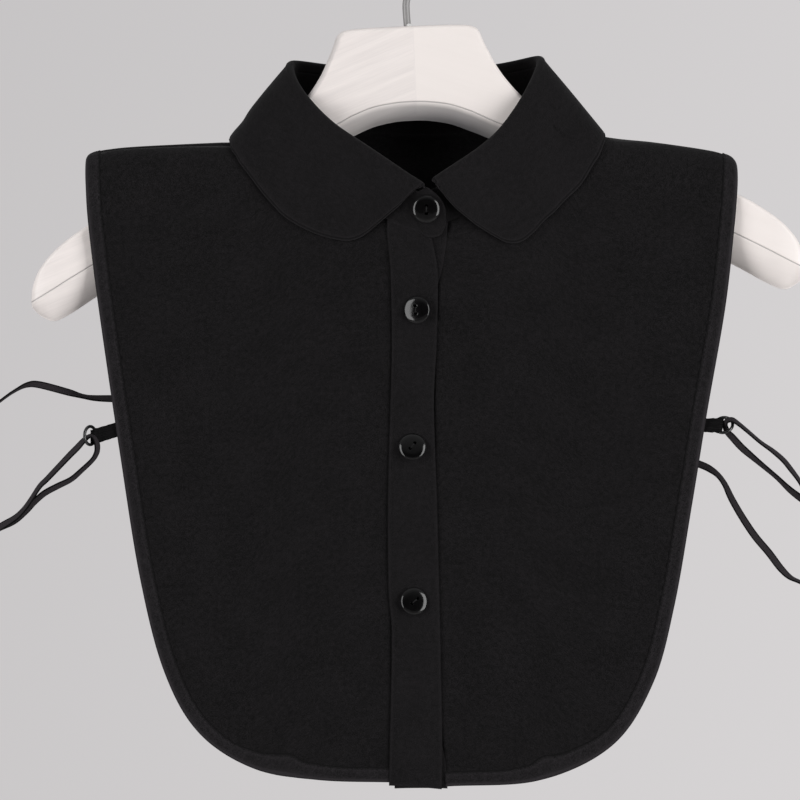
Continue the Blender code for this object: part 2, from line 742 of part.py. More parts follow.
def add_plackets():
    """The band with the buttonholes on top, and the band with the buttons below it."""
    rows = 30
    table = [PlacketRow(-row.z, row.left, row.right) for row in PLACKET]
    left, right = [], []
    for k in range(rows + 1):
        sides = zip((left, right), ("left", "right"), PLACKET_TOP, PLACKET_HEM)
        for line, side, top, hem in sides:
            z = top + (hem - top) * k / rows
            line.append(flat_place(cubic(table, -z, "z", side), z, -1))
    level = PLACKET_WALL / 2 + GAP + PLACKET_WALL / 2
    strip("placket_top", left, right, PLACKET_WALL, level, cloth_colour())
    left, right = [], []
    for k in range(rows + 1):
        share = k / rows
        for line, x, start in zip((left, right), PLACKET_UNDER, PLACKET_UNDER_TOP):
            line.append(flat_place(x, start + (UNDER_HEM - start) * share, -1))
    strip("placket_under", left, right, PANEL_WALL, 0.0, cloth_colour())


# ---------------------------------------------------------------------------------------------
# Collar


Section = namedtuple("Section", "crest up outward inward leg seam edge")


def collar_sections():
    """The collar's sections: the roll's middle and its directions, and the seam and edge points."""
    centre = Vector((CENTRE_FRONT_X, 0, 0))
    folds = [p + centre for p in through([row.fold for row in COLLAR], COLLAR_STEPS)]
    seams = [laid(*p) for p in neck_places()]
    rows = [(*flat_place(*row.edge[:2], row.side), row.edge[2]) for row in COLLAR]
    edges = [laid(*p) for p in through(rows, COLLAR_STEPS)]
    out = []
    for i, (fold, seam, edge) in enumerate(zip(folds, seams, edges)):
        ahead = (folds[min(i + 1, len(folds) - 1)] - folds[max(i - 1, 0)]).normalized()
        outward = Vector((-ahead.y, ahead.x, 0)).normalized()
        if outward.dot(fold - centre) < 0:
            outward = -outward
        up = outward.cross(ahead)
        up *= math.copysign(1.0, up.z)
        crest = fold - up * ROLL_RADIUS
        inward = (seam - crest + outward * ROLL_RADIUS).normalized()
        leg = min(ROLL_LEG, 0.6 * (edge - fold).length) - ROLL_RADIUS * 0.6
        out.append(Section(crest, up, outward, inward, leg, seam, edge))
    return out


def add_fall(sections):
    """The collar's fall: up inside the fold, over the roll, and down to its outer edge."""
    r = ROLL_RADIUS
    grid = []
    for at in sections:
        inside, outside = at.crest - at.outward * r, at.crest + at.outward * r
        row = [inside + at.inward * at.leg, inside]
        row.append(at.crest + (at.up - at.outward).normalized() * r)
        row.append(at.crest + (at.up + at.outward).normalized() * r)
        run = at.edge - outside
        bow = min(run.length * 0.05, 2.2)
        for t in (0.0, 0.3, 0.62, 1.0):
            row.append(outside + run * t + at.outward * (bow * math.sin(math.pi * t)))
        grid.append(row)
    wall("collar_fall", thickened(grid, COLLAR_WALL), cloth_colour())


def add_stand(sections):
    """The collar's stand, with its round right end over the left one."""

    def end_row(row):
        top = Vector((CENTRE_FRONT_X + row.x, row.y_top, row.top))
        bottom = Vector((CENTRE_FRONT_X + row.x, row.y_bottom, row.bottom))
        return [top.lerp(bottom, t / 3) for t in range(4)]

    grid = [end_row(row) for row in STAND_RIGHT_END]
    last = len(sections) - 1
    for i, at in enumerate(sections[1:-1], start=1):
        throat = max(1 - min(i, last - i) / THROAT_SECTIONS, 0.0)
        over = LAP_RIGHT if i < last / 2 else LAP_LEFT
        drop = at.leg + GAP + 0.1 + 0.5 * throat
        top = at.crest - at.outward * (ROLL_RADIUS - over.top * throat) + at.inward * drop
        along = (sections[i + 1].seam - sections[i - 1].seam).normalized()
        up = (-at.inward + along * along.dot(at.inward)).normalized()
        bottom = at.seam + up * STAND_LIFT + at.outward * (over.bottom * throat)
        grid.append([top.lerp(bottom, t / 3) for t in range(4)])
    grid += [end_row(row) for row in STAND_LEFT_END]
    wall("collar_stand", thickened(grid, STAND_WALL), cloth_colour())


def add_collar():
    sections = collar_sections()
    add_fall(sections)
    add_stand(sections)


# ---------------------------------------------------------------------------------------------
# Buttons


def pierced_disc(radius):
    """Triangles of a disc with the button's holes, its rim's points first and then each hole's."""
    spots = [(radius * math.cos(a), radius * math.sin(a)) for a in turns(BUTTON_FACES)]
    loops = [range(BUTTON_FACES)]
    for sign in (-1, 1):
        y = sign * BUTTON_HOLE_SPACING / 2
        r = BUTTON_HOLE_RADIUS
        loops.append(range(len(spots), len(spots) + BUTTON_HOLE_FACES))
        spots += [(r * math.cos(a), y + r * math.sin(a)) for a in turns(BUTTON_HOLE_FACES)]
    edges = [(a, b) for loop in loops for a, b in zip(loop, [*loop[1:], loop[0]])]
    spots = [Vector(p) for p in spots]
    _, _, triangles, *_ = delaunay_2d_cdt(spots, edges, [], 1, 1e-6)

    def in_hole(face):
        return any(all(i in loop for i in face) for loop in loops[1:])

    return spots, [face for face in triangles if not in_hole(face)], loops


def turns(count):
    return [2 * math.pi * k / count for k in range(count)]


def add_button(name, middle, outward, turn):
    """A dished two-hole button with a raised rim, facing outward."""
    back, back_faces, loops = pierced_disc(BUTTON_PROFILE[0][0])
    front, front_faces, _ = pierced_disc(BUTTON_PROFILE[-1][0])
    points = [(p.x, p.y, BUTTON_PROFILE[0][1]) for p in back]
    points += [(p.x, p.y, BUTTON_PROFILE[-1][1]) for p in front]
    faces = [tuple(reversed(face)) for face in back_faces]
    faces += [tuple(len(back) + i for i in face) for face in front_faces]
    for loop in loops[1:]:
        for a, b in zip(loop, [*loop[1:], loop[0]]):
            faces.append((a, b, len(back) + b, len(back) + a))
    rims = [list(loops[0])]
    for radius, height in BUTTON_PROFILE[1:-1]:
        rims.append([len(points) + k for k in range(BUTTON_FACES)])
        points += [(radius * math.cos(a), radius * math.sin(a), height) for a in turns(BUTTON_FACES)]
    rims.append([len(back) + i for i in loops[0]])
    for low, high in zip(rims, rims[1:]):
        for k in range(BUTTON_FACES):
            after = (k + 1) % BUTTON_FACES
            faces.append((low[k], low[after], high[after], high[k]))
    button = add_mesh(name, points, faces, gloss_black())
    facing = outward.to_track_quat("Z", "Y").to_matrix().to_4x4()
    place = Matrix.Translation(middle * MM) @ facing @ Matrix.Rotation(math.radians(turn), 4, "Z")
    button.matrix_world = place


def add_buttons():
    row = STAND_BUTTON
    below = STAND_RIGHT_END[-1]
    lean = (below.y_top - below.y_bottom) / (below.top - below.bottom)
    y = below.y_top + (row.z - below.top) * lean
    outward = Vector((0.06, -1.0, lean)).normalized()
    on_stand = Vector((CENTRE_FRONT_X + row.x, y, row.z))
    add_button("button_1", on_stand + outward * (STAND_WALL / 2 + BUTTON_SINK), outward, row.turn)
    for k, row in enumerate(PLACKET_BUTTONS):
        place = flat_place(row.x, row.z, -1)
        outward = out_from(place.x, place.y)
        level = PLACKET_WALL * 1.5 + GAP + BUTTON_SINK
        middle = laid(place.x, place.y, level)
        add_button(f"button_{k + 2}", middle, outward, row.turn)


# ---------------------------------------------------------------------------------------------
# Side tabs, rings, straps and sliders


def ring_frame(row):
    """The ring's middle, and the direction in its plane away from the garment."""
    turn = math.radians(row.turn)
    away = Vector((row.side * math.cos(turn), -math.sin(turn), 0))
    x = row.x - row.side * (TAB_LONG - 6.0) - CENTRE_FRONT_X
    sewn = laid(*flat_place(x, row.z, -1), -(BINDING_WALL / 2 + GAP + TAB_WALL))
    return Vector((row.x, sewn.y, row.z)) + Vector((0, away.y, 0)) * RING_RADIUS, away


def add_ring(name, row):
    """A round wire ring, turned out of the garment's plane."""
    curve = bpy.data.curves.new(name, "CURVE")
    curve.dimensions = "3D"
    curve.bevel_depth = RING_WIRE * MM
    curve.bevel_resolution = 2
    count = 24
    spline = curve.splines.new("POLY")
    spline.points.add(count - 1)
    spline.use_cyclic_u = True
    middle, away = ring_frame(row)
    for k, point in enumerate(spline.points):
        a = 2 * math.pi * k / count
        place = middle + (away * math.cos(a) + Vector((0, 0, math.sin(a)))) * RING_RADIUS
        point.co = (*(place * MM), 1.0)
    curve.materials.append(black_metal())
    ring = bpy.data.objects.new(name, curve)
    bpy.context.collection.objects.link(ring)


def add_tab(name, row):
    """A folded tab: sewn under the binding, out to the ring, round its wire and back."""
    middle, away = ring_frame(row)
    facing = Vector((away.y, -away.x, 0))
    long, wide = TAB_EYE
    eye = middle - away * (RING_RADIUS - 0.6)
    sewn_y = (middle - away * RING_RADIUS).y
    sewn_x = eye.x - row.side * TAB_LONG
    neck_x = eye.x - row.side * (long + 1.2)

    def loop(grow, low, high, steps):
        """Points round the space in the fold, seen from above."""
        out = []
        for k in range(steps + 1):
            a = low + (high - low) * k / steps
            spot = eye + away * (math.cos(a) * (long + grow)) + facing * (math.sin(a) * (wide + grow))
            out.append((spot.x, spot.y))
        return out

    y = (sewn_y + TAB_WALL, sewn_y - TAB_WALL)
    if facing.y < 0:
        y = y[::-1]
    outside = [(sewn_x, y[1]), (neck_x, y[1])]
    outside += loop(TAB_WALL, -0.55 * math.pi, 0.55 * math.pi, 8)
    outside += [(neck_x, y[0]), (sewn_x, y[0])]
    hole = loop(0.0, 0.0, 2 * math.pi * 15 / 16, 15)

    def tall(x):
        share = min(max((x - sewn_x) / (neck_x - sewn_x), 0.0), 1.0)
        return TAB_TALL + (TAB_TALL_AT_RING - TAB_TALL) * share

    tab = add_prism(name, outside, row.z, tall, elastic_colour())
    cutter = add_prism(f"{name}_eye", hole, row.z, lambda x: 2 * TAB_TALL, elastic_colour())
    cut_away(tab, [cutter])


def add_prism(name, outline, middle, tall, material):
    """An outline seen from above, raised about a middle height. tall(x) is its height there."""
    n = len(outline)
    points = [(x, y, middle - tall(x) / 2) for x, y in outline]
    points += [(x, y, middle + tall(x) / 2) for x, y in outline]
    faces = [tuple(range(n)), tuple(range(2 * n - 1, n - 1, -1))]
    faces += [(i, (i + 1) % n, n + (i + 1) % n, n + i) for i in range(n)]
    return add_mesh(name, points, faces, material)


def add_tube(name, points, steps, radius, sides, material):
    """A round tube along a smooth curve through the points, with closed ends."""
    curve = bpy.data.curves.new(name, "CURVE")
    curve.dimensions = "3D"
    curve.bevel_depth = radius * MM
    curve.bevel_resolution = sides
    curve.use_fill_caps = True
    line = through(points, steps)
    spline = curve.splines.new("POLY")
    spline.points.add(len(line) - 1)
    for point, place in zip(spline.points, line):
        point.co = (*(place * MM), 1.0)
    curve.materials.append(material)
    tube = bpy.data.objects.new(name, curve)
    bpy.context.collection.objects.link(tube)
    return tube


def add_slider(row):
    """A strap adjuster: a plate with two slots and a bar between them."""
    middle = Vector(row.middle)
    along = Vector(row.along).normalized()
    across = along.cross(Vector((0, 1, 0))).normalized()
    up = along.cross(across)
    turn = Matrix((along, across, up)).transposed().to_4x4()
    place = Matrix.Translation(middle * MM) @ turn

    slot = (SLIDER_LONG - 3 * SLIDER_BAR) / 2
    lines = [0.0]
    for step in (SLIDER_BAR, slot, SLIDER_BAR, slot, SLIDER_BAR):
        lines.append(lines[-1] + step)
    cross = [0.0, SLIDER_BAR, SLIDER_WIDE - SLIDER_BAR, SLIDER_WIDE]
    solid = {(i, j) for i in range(5) for j in range(3)} - {(1, 1), (3, 1)}

    def corner(i, j, top):
        return top * 24 + i * 4 + j

    points = []
    for height in (-SLIDER_THICK / 2, SLIDER_THICK / 2):
        for u in lines:
            points += [(u - SLIDER_LONG / 2, v - SLIDER_WIDE / 2, height) for v in cross]
    faces = []
    for i, j in sorted(solid):
        ring = [(i, j), (i + 1, j), (i + 1, j + 1), (i, j + 1)]
        for top in (0, 1):
            faces.append([corner(*spot, top) for spot in ring])
        for k, beyond in enumerate([(i, j - 1), (i + 1, j), (i, j + 1), (i - 1, j)]):
            if beyond not in solid:
                a, b = ring[k], ring[(k + 1) % 4]
                faces.append([corner(*a, 0), corner(*b, 0), corner(*b, 1), corner(*a, 1)])
    plate = add_mesh(row.name, points, faces, gloss_black())
    plate.matrix_world = place


def add_straps():
    add_ring("ring_right", RIGHT_RING)
    add_ring("ring_left", LEFT_RING)
    add_tab("tab_right", RIGHT_RING)
    add_tab("tab_left", LEFT_RING)
    add_tube("strap_right", RIGHT_STRAP, STRAP_STEPS, STRAP_THICK / 2, 2, elastic_colour())
    add_tube("strap_left", LEFT_STRAP, STRAP_STEPS, STRAP_THICK / 2, 2, elastic_colour())
    for row in SLIDERS:
        add_slider(row)


# ---------------------------------------------------------------------------------------------
# Hanger


def board_section(row, side):
    """A cross-section of the board: round at the top, upright faces, and slanted faces below."""
    h, top, line, bottom = row.half, row.top, row.line, row.bottom
    round_drop = min(5.0, (top - line) * 0.3)
    low = bottom + 1.6 if bottom + 1.6 < line else (bottom + line) / 2
    half = [
        (0.30 * h, top),
        (0.72 * h, top - round_drop * 0.25),
        (h, top - round_drop),
        (h, line),
        (0.50 * h, low),
        (0.34 * h, bottom),
    ]
    ring = half + [(-y, z) for y, z in reversed(half)]
    return [(side * row.x, y, z) for y, z in ring]


def add_board():
    """The board lofted from the tip of one arm to the tip of the other, with the hook's hole."""
    sections = [board_section(row, -1) for row in reversed(BOARD)]
    sections += [board_section(row, 1) for row in BOARD[1:]]
    tip = BOARD[-1]
    tip_z = (tip.top + tip.bottom) / 2
    n = len(sections[0])
    points = [p for section in sections for p in section]
    points += [(-HANGER_HALF, 0, tip_z), (HANGER_HALF, 0, tip_z)]
    faces = []
    for i in range(len(sections) - 1):
        for j in range(n):
            a, b = i * n + j, i * n + (j + 1) % n
            faces.append((a, b, b + n, a + n))
    last = (len(sections) - 1) * n
    for j in range(n):
        faces.append((len(points) - 2, (j + 1) % n, j))
        faces.append((len(points) - 1, last + j, last + (j + 1) % n))
    board = add_mesh("hanger_board", points, faces, wood_colour())
    bpy.ops.mesh.primitive_cylinder_add(
        vertices=16,
        radius=(HOOK_WIRE + GAP) * MM,
        depth=2 * HOOK_HOLE_DEPTH * MM,
        location=(0, 0, -NECK_DROP * MM),
    )
    cutter = bpy.context.object
    cutter.name = "hook_hole"
    tilt = Matrix.Rotation(math.radians(-HANGER_TILT), 4, "Y")
    cutter.matrix_world = tilt @ cutter.matrix_world
    board.matrix_world = tilt
    cut_away(board, [cutter])


def add_hook():
    """The wire hook: a straight shank out of the board, and a bend whose inside rests on the rail."""
    radius = HOOK_INNER + HOOK_WIRE
    centre = -HOOK_INNER
    shank_foot = -NECK_DROP - HOOK_HOLE_DEPTH + 2 * GAP
    shank_top = -NECK_DROP + HOOK_STRAIGHT
    line = [(0, 0, shank_foot), (0, 0, (shank_foot + shank_top) / 2), (0, 0, shank_top)]
    line.append((3.6, 0, centre - radius * 1.09))
    for degrees in range(-48, 196, 16):
        a = math.radians(degrees)
        line.append((radius * math.cos(a), 0, centre + radius * math.sin(a)))
    line.append((-radius - 1.6, 0, centre - 9.5))
    line.append((-radius - 4.6, 0, centre - 13.5))
    hook = add_tube("hanger_hook", line, 2, HOOK_WIRE, 3, chrome_colour())
    hook.matrix_world = Matrix.Rotation(math.radians(-HANGER_TILT), 4, "Y")


def clear_scene():
    for old in list(bpy.data.objects):
        bpy.data.objects.remove(old, do_unlink=True)


clear_scene()
add_body()
add_collar()
add_buttons()
add_straps()
add_board()
add_hook()
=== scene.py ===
"""The looks of a detachable shirt collar on its wooden hanger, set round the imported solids.

Metres, +Z up, -Y is the garment's front and +X a viewer's right. The cloth is worked out flat, in
millimetres: (x, s) is a place on the flat garment, x across it and s down the front from the
shoulder's fold. A negative s goes down the back. MM turns millimetres to metres.
"""

import math

import bmesh
import bpy
import numpy as np
from mathutils import Matrix, Vector


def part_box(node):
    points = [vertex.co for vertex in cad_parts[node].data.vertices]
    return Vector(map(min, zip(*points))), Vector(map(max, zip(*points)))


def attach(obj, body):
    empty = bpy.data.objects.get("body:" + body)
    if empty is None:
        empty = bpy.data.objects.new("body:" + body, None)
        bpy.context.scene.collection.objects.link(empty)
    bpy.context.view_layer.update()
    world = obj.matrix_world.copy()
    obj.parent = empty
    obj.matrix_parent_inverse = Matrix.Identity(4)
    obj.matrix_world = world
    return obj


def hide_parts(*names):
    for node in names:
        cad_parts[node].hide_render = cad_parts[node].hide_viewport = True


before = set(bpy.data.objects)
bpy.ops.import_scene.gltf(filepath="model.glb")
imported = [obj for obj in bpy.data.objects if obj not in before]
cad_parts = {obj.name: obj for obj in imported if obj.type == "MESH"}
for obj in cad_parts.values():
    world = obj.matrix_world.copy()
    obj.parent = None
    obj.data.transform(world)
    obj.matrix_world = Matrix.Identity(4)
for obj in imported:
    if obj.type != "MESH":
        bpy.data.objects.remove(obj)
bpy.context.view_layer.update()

MM = 0.001

# ---------------------------------------------------------------------------------------------
# The cloth: a matt black crepe, woven from hard-twisted threads, so its face is finely pebbled.
# The panels, plackets and collar are cut on its straight grain, and the bindings on the bias.

CLOTH_BLACK = (0.0050, 0.0044, 0.0049)
PRESSED_BLACK = (0.0061, 0.0054, 0.0060)  # of the interfaced collar and plackets
BINDING_BLACK = (0.0098, 0.0087, 0.0097)
THREAD_PITCH = 0.42  # between two threads of the weave, in millimetres


class Paint:
    """A value in a material's node tree. Sums on it add Math nodes; node() adds any other."""

    def __init__(self, tree, socket=None):
        self.tree = tree
        self.socket = socket

    def node(self, kind, settings, inputs, out=0):
        made = self.tree.nodes.new(kind)
        for name, value in settings.items():
            setattr(made, name, value)
        for name, value in inputs.items():
            if isinstance(value, Paint):
                self.tree.links.new(value.socket, made.inputs[name])
            else:
                made.inputs[name].default_value = value
        return Paint(self.tree, made.outputs[out])

    def maths(self, operation, *values):
        return self.node("ShaderNodeMath", {"operation": operation}, dict(enumerate(values)))

    def __add__(self, other):
        return self.maths("ADD", self, other)

    def __sub__(self, other):
        return self.maths("SUBTRACT", self, other)

    def __mul__(self, other):
        return self.maths("MULTIPLY", self, other)

    def flat(self):
        """The place on the flat piece, in millimetres."""
        return self.node("ShaderNodeUVMap", {"uv_map": "flat"}, {})

    def place(self):
        """The place in space, in metres, that moves with the piece."""
        return self.node("ShaderNodeTexCoord", {}, {}, out=3)

    def marked(self, name):
        """A number that the mesh carries at its points."""
        return self.node("ShaderNodeAttribute", {"attribute_name": name}, {}, out=2)

    def parts(self, vector):
        """A vector's x, y and z."""
        made = self.node("ShaderNodeSeparateXYZ", {}, {0: vector})
        return [Paint(self.tree, output) for output in made.socket.node.outputs]

    def wave(self, angle):
        return self.maths("SINE", angle) * 0.5 + 0.5

    def noise(self, vector, scale, detail=2.0):
        sockets = {"Vector": vector, "Scale": scale, "Detail": detail}
        return self.node("ShaderNodeTexNoise", {}, sockets)

    def stretched(self, vector, factors):
        sockets = {0: vector, 1: factors}
        return self.node("ShaderNodeVectorMath", {"operation": "MULTIPLY"}, sockets)

    def turned(self, vector, degrees):
        sockets = {"Vector": vector, "Rotation": (0.0, 0.0, math.radians(degrees))}
        return self.node("ShaderNodeMapping", {}, sockets)

    def between(self, share, dark, light):
        dark, light = (c if isinstance(c, Paint) else (*c, 1.0) for c in (dark, light))
        sockets = {0: share, 6: dark, 7: light}
        return self.node("ShaderNodeMix", {"data_type": "RGBA"}, sockets, out=2)


def new_finish(name, **constants):
    """A material, a first Paint in its tree, and its shader with its constant sockets set."""
    material = bpy.data.materials.new(name)
    material.use_nodes = True
    shader = material.node_tree.nodes["Principled BSDF"]
    for socket, value in constants.items():
        shader.inputs[socket.replace("_", " ")].default_value = value
    return material, Paint(material.node_tree), shader


def finish_with(paint, shader, colour, roughness, height, distance):
    """Links what varies over the surface to the shader."""
    bump = paint.node("ShaderNodeBump", {}, {"Height": height, "Distance": distance})
    for name, value in (("Base Color", colour), ("Roughness", roughness), ("Normal", bump)):
        paint.tree.links.new(value.socket, shader.inputs[name])


def crepe(name, black, turn, fleck):
    """The crepe cloth, on the piece's flat millimetres, with its grain turned by some degrees. A
    value that the mesh carries paints highlights on its folded edges and paints shade in its seams
    and grooves."""
    material, paint, shader = new_finish(
        name, Specular_IOR_Level=0.1, Sheen_Weight=0.05, Sheen_Roughness=0.5
    )
    flat = paint.turned(paint.flat(), turn)
    painted_light = paint.marked("painted_light")
    wander = paint.noise(flat, 0.35)
    pebbles = paint.noise(flat, 1.3, 2.0)
    grit = paint.noise(paint.stretched(flat, (1.0, 0.7, 1.0)), 3.1, 1.0)
    mottle = paint.noise(flat, 0.42, 3.0)
    clouds = paint.noise(flat, 0.05)
    across, down, _ = paint.parts(flat)
    per_thread = math.pi / THREAD_PITCH
    warp = paint.maths("SINE", across * per_thread + wander * 9.0)
    weft = paint.maths("SINE", down * per_thread + wander * 7.0)
    weave = warp * weft * 0.5 + 0.5
    height = weave * 0.3 + pebbles * 0.9 + grit * 0.5
    light = [(1 + 1.1 * fleck) * c for c in black]
    dark = [(1 - 0.8 * fleck) * c for c in black]
    share = pebbles * 1.9 + grit * 1.4 + mottle * 1.2 + weave * 0.1 + clouds * 0.5 - 2.12
    colour = paint.between(share, dark, light)
    # painted highlight where the value is above 0, and painted shade where it is below 0
    colour = paint.between(painted_light, colour, [2.9 * c for c in black])
    colour = paint.between(painted_light * -1.0, colour, [0.22 * c for c in black])
    finish_with(paint, shader, colour, pebbles * 0.2 + 0.68, height, 0.00026)
    return material


black_crepe = crepe("black_crepe", CLOTH_BLACK, 0.0, 1.05)
pressed_crepe = crepe("black_crepe_pressed", PRESSED_BLACK, 0.0, 0.7)
bias_crepe = crepe("black_crepe_bias", BINDING_BLACK, 45.0, 0.8)


# ---------------------------------------------------------------------------------------------
# The drape of the front and back panels: a plain body of cloth, folded over the shoulders and
# hanging straight from the hanger's arms. It is pushed off the hanger round the neck by the
# collar.

CENTRE_FRONT_X = 4.9  # the flat garment's x = 0 in space
RIDGE = [  # x, and the height of the shoulder's fold
    (-170, -134.5), (-168, -128.5), (-165, -126.0), (-160, -124.4), (-147, -122.8), (-120, -121.3),
    (-100, -120.4), (-89, -119.8), (-78, -115.9), (-70, -109.6), (-60, -99.5), (-40, -92.0),
    (3, -88.0), (45, -90.0), (65, -96.8), (75, -105.6), (84, -111.2), (94, -115.7), (105, -118.0),
    (125, -120.0), (151, -123.7), (162, -126.4), (167, -130.4), (170, -138.0),
]  # fmt: skip
HALF_DEPTH = [  # x, and half of the way from the front to the back below the fold
    (-170, 13.2), (-130, 12.8), (-100, 12.4), (-80, 12.0), (-60, 11.8), (0, 11.6), (65, 11.8),
    (85, 12.0), (103, 12.4), (132, 12.8), (170, 13.2),
]  # fmt: skip
FOLD_REACH = [  # x, and how far down the fold's curve reaches
    (-170, 40), (-130, 27), (-100, 14), (-80, 10), (-60, 9), (0, 8), (65, 9), (85, 10), (103, 14),
    (132, 27), (170, 40),
]  # fmt: skip
HEM_SHARE = 0.65  # of the depth, left at the hem
NARROW_FROM = -170.0  # the height from which the depth narrows
NARROW_LENGTH = 280.0
FRONT_DOME = (13.0, 5.0, -165.0, 55.0, 50.0)  # height, x, z, and how wide and tall
BACK_DOME = (14.0, 2.6, -118.0, 62.0, 55.0)


def unit(vectors):
    return vectors / np.linalg.norm(vectors, axis=-1, keepdims=True)


def smooth_table(rows):
    """A smooth curve through a table's (at, value) rows."""
    at, value = np.array(rows, float).T
    slope = np.empty_like(value)
    slope[1:-1] = (value[2:] - value[:-2]) / (at[2:] - at[:-2])
    slope[0] = (value[1] - value[0]) / (at[1] - at[0])
    slope[-1] = (value[-1] - value[-2]) / (at[-1] - at[-2])

    def read(x):
        x = np.clip(x, at[0], at[-1])
        i = np.clip(np.searchsorted(at, x, side="right") - 1, 0, len(at) - 2)
        span = at[i + 1] - at[i]
        t = (x - at[i]) / span
        a, b = slope[i] * span, slope[i + 1] * span
        rise = value[i + 1] - value[i]
        return value[i] + t * a + t * t * (3 * rise - 2 * a - b) + t**3 * (a + b - 2 * rise)

    return read


ridge_at = smooth_table(RIDGE)
half_depth_at = smooth_table(HALF_DEPTH)
fold_reach_at = smooth_table(FOLD_REACH)


def hump(value, middle, width):
    """A smooth rise to 1 at the middle."""
    return np.exp(-(((value - middle) / width) ** 2))


def humps(value, rows):
    """Several humps together, as the tables of pressed folds and hollows give them: each row has
    a height, a middle and a width."""
    return sum(height * hump(value, middle, width) for height, middle, width in rows)


def drape(x, s):
    """The middle of the cloth over places on the flat garment."""
    reach = fold_reach_at(x)
    along = np.abs(s)
    turn = math.pi / 2 * np.clip(along / reach, 0.0, 1.0)
    down = np.where(along < reach, reach * (1 - np.cos(turn)), along)
    z = ridge_at(x) - down
    t = np.clip((NARROW_FROM - z) / NARROW_LENGTH, 0.0, 1.0)
    narrow = 1 - (1 - HEM_SHARE) * t * t * (3 - 2 * t)
    pushed = [
        height * hump(x, dome_x, wide) * hump(z, dome_z, tall)
        for height, dome_x, dome_z, wide, tall in (FRONT_DOME, BACK_DOME)
    ]
    away = (half_depth_at(x) * narrow + np.where(s > 0, *pushed)) * np.sin(turn)
    return np.stack([x, np.where(s > 0, -away, away), z], -1)


def ease(x, s):
    """Broad soft waves in the ironed cloth, which die away towards the shoulder's fold."""
    clear = np.clip((np.abs(s) - 45.0) / 60.0, 0.0, 1.0)
    first = np.sin(x / 19.0 + 1.3 * np.sin(s / 63.0) + 0.4) * np.sin(s / 71.0 + 0.9)
    second = np.sin(x / 41.0 - s / 37.0 + 2.1)
    return clear * (0.32 * first + 0.22 * second)


def lay(x, s, level):
    """Points at a level above the middle of the panels, in metres."""
    across = drape(x + 0.5, s) - drape(x - 0.5, s)
    down = drape(x, s + 0.5) - drape(x, s - 0.5)
    out = unit(np.cross(down, across))
    point = drape(x, s) + out * (level + ease(x, s))[..., None]
    point[..., 0] += CENTRE_FRONT_X
    return point * MM


def down_to(x, z):
    """How far down from the shoulder's fold a height is reached."""
    down = np.maximum(ridge_at(x) - z, 0.0)
    reach = fold_reach_at(x)
    bent = reach * np.arccos(np.clip(1 - down / reach, -1, 1)) * 2 / math.pi
    return np.where(down < reach, bent, down)


def spline_at(points, u):
    """Places on a smooth curve through the points: 0 is the first point, 1 the second and so on."""
    p = np.array(points, float)
    p = np.vstack([2 * p[0] - p[1], p, 2 * p[-1] - p[-2]])
    u = np.asarray(u, float)
    i = np.clip(np.floor(u).astype(int), 0, len(p) - 4)
    t = (u - i)[:, None]
    a, b, c, d = (p[i + k] for k in range(4))
    bend = (2 * a - 5 * b + 4 * c - d) * t**2 + (3 * b - a - 3 * c + d) * t**3
    return 0.5 * (2 * b + (c - a) * t + bend)


def spline(points, steps):
    """The whole curve, with the same steps between each two of the points."""
    return spline_at(points, np.arange((len(points) - 1) * steps + 1) / steps)


def run_along(line):
    """How far along a line each of its points is."""
    return np.concatenate([[0.0], np.cumsum(np.linalg.norm(np.diff(line, axis=0), axis=1))])


def evenly(line, count):
    """Points evenly spaced along a line."""
    line = np.asarray(line, float)
    far = run_along(line)
    want = np.linspace(0.0, far[-1], count)
    return np.stack([np.interp(want, far, line[:, k]) for k in range(line.shape[1])], -1)


def beside(line, distance):
    """A flat line moved to its left by a distance."""
    ahead = unit(np.gradient(line, axis=0))
    return line + np.stack([-ahead[:, 1], ahead[:, 0]], -1) * distance


# ---------------------------------------------------------------------------------------------
# The garment's outer edge, the two front panels and the back panel: single pieces of crepe. Each
# is sewn into the bindings at its sides and hem, to the others along the shoulders and into the
# collar's stand. The back comes a little over the shoulder's fold, to the front.

RIGHT_EDGE = [  # x and height of the front's outer edge, from the shoulder to the centre of the hem
    (-168.7, -131.5), (-168.2, -142.0), (-166.6, -163.0), (-161.4, -205.0), (-150.6, -279.4),
    (-140.1, -345.3), (-127.6, -393.7), (-109.7, -425.1), (-81.5, -443.4), (-47.9, -449.3),
    (-9.4, -450.5),
]  # fmt: skip
LEFT_EDGE = [
    (168.4, -134.0), (168.0, -143.0), (166.2, -163.0), (161.5, -205.0), (152.0, -260.0),
    (144.6, -306.0), (135.5, -359.0), (124.4, -399.4), (103.5, -431.3), (66.0, -449.4),
    (17.6, -452.6),
]  # fmt: skip
BACK_INSET = 2.5  # of the back's sides, inside the front's
BACK_SHORTER = 14.0
SHOULDER_SEAM_RIGHT = 4.0  # below the fold, on the front
SHOULDER_SEAM_LEFT = 0.8
BINDING_WIDTH = 7.8
UNDER_BINDING = 3.2  # how far in from the outer edge the panels' own edge lies, inside the binding
PANEL_HALF = 0.6  # half of a panel's thickness
CELL = 2.0  # of the panels' mesh
GATHER = 6.4  # between two of the small waves beside a seam
PUCKER = 0.11  # the small waves' height, and how far they reach from the seam
PUCKER_REACH = 5.0
SEAM_ROLL = 0.34  # how far a shoulder seam's edges roll under
UNDER_STAND = 0.9  # how far the panels go up inside the collar's stand
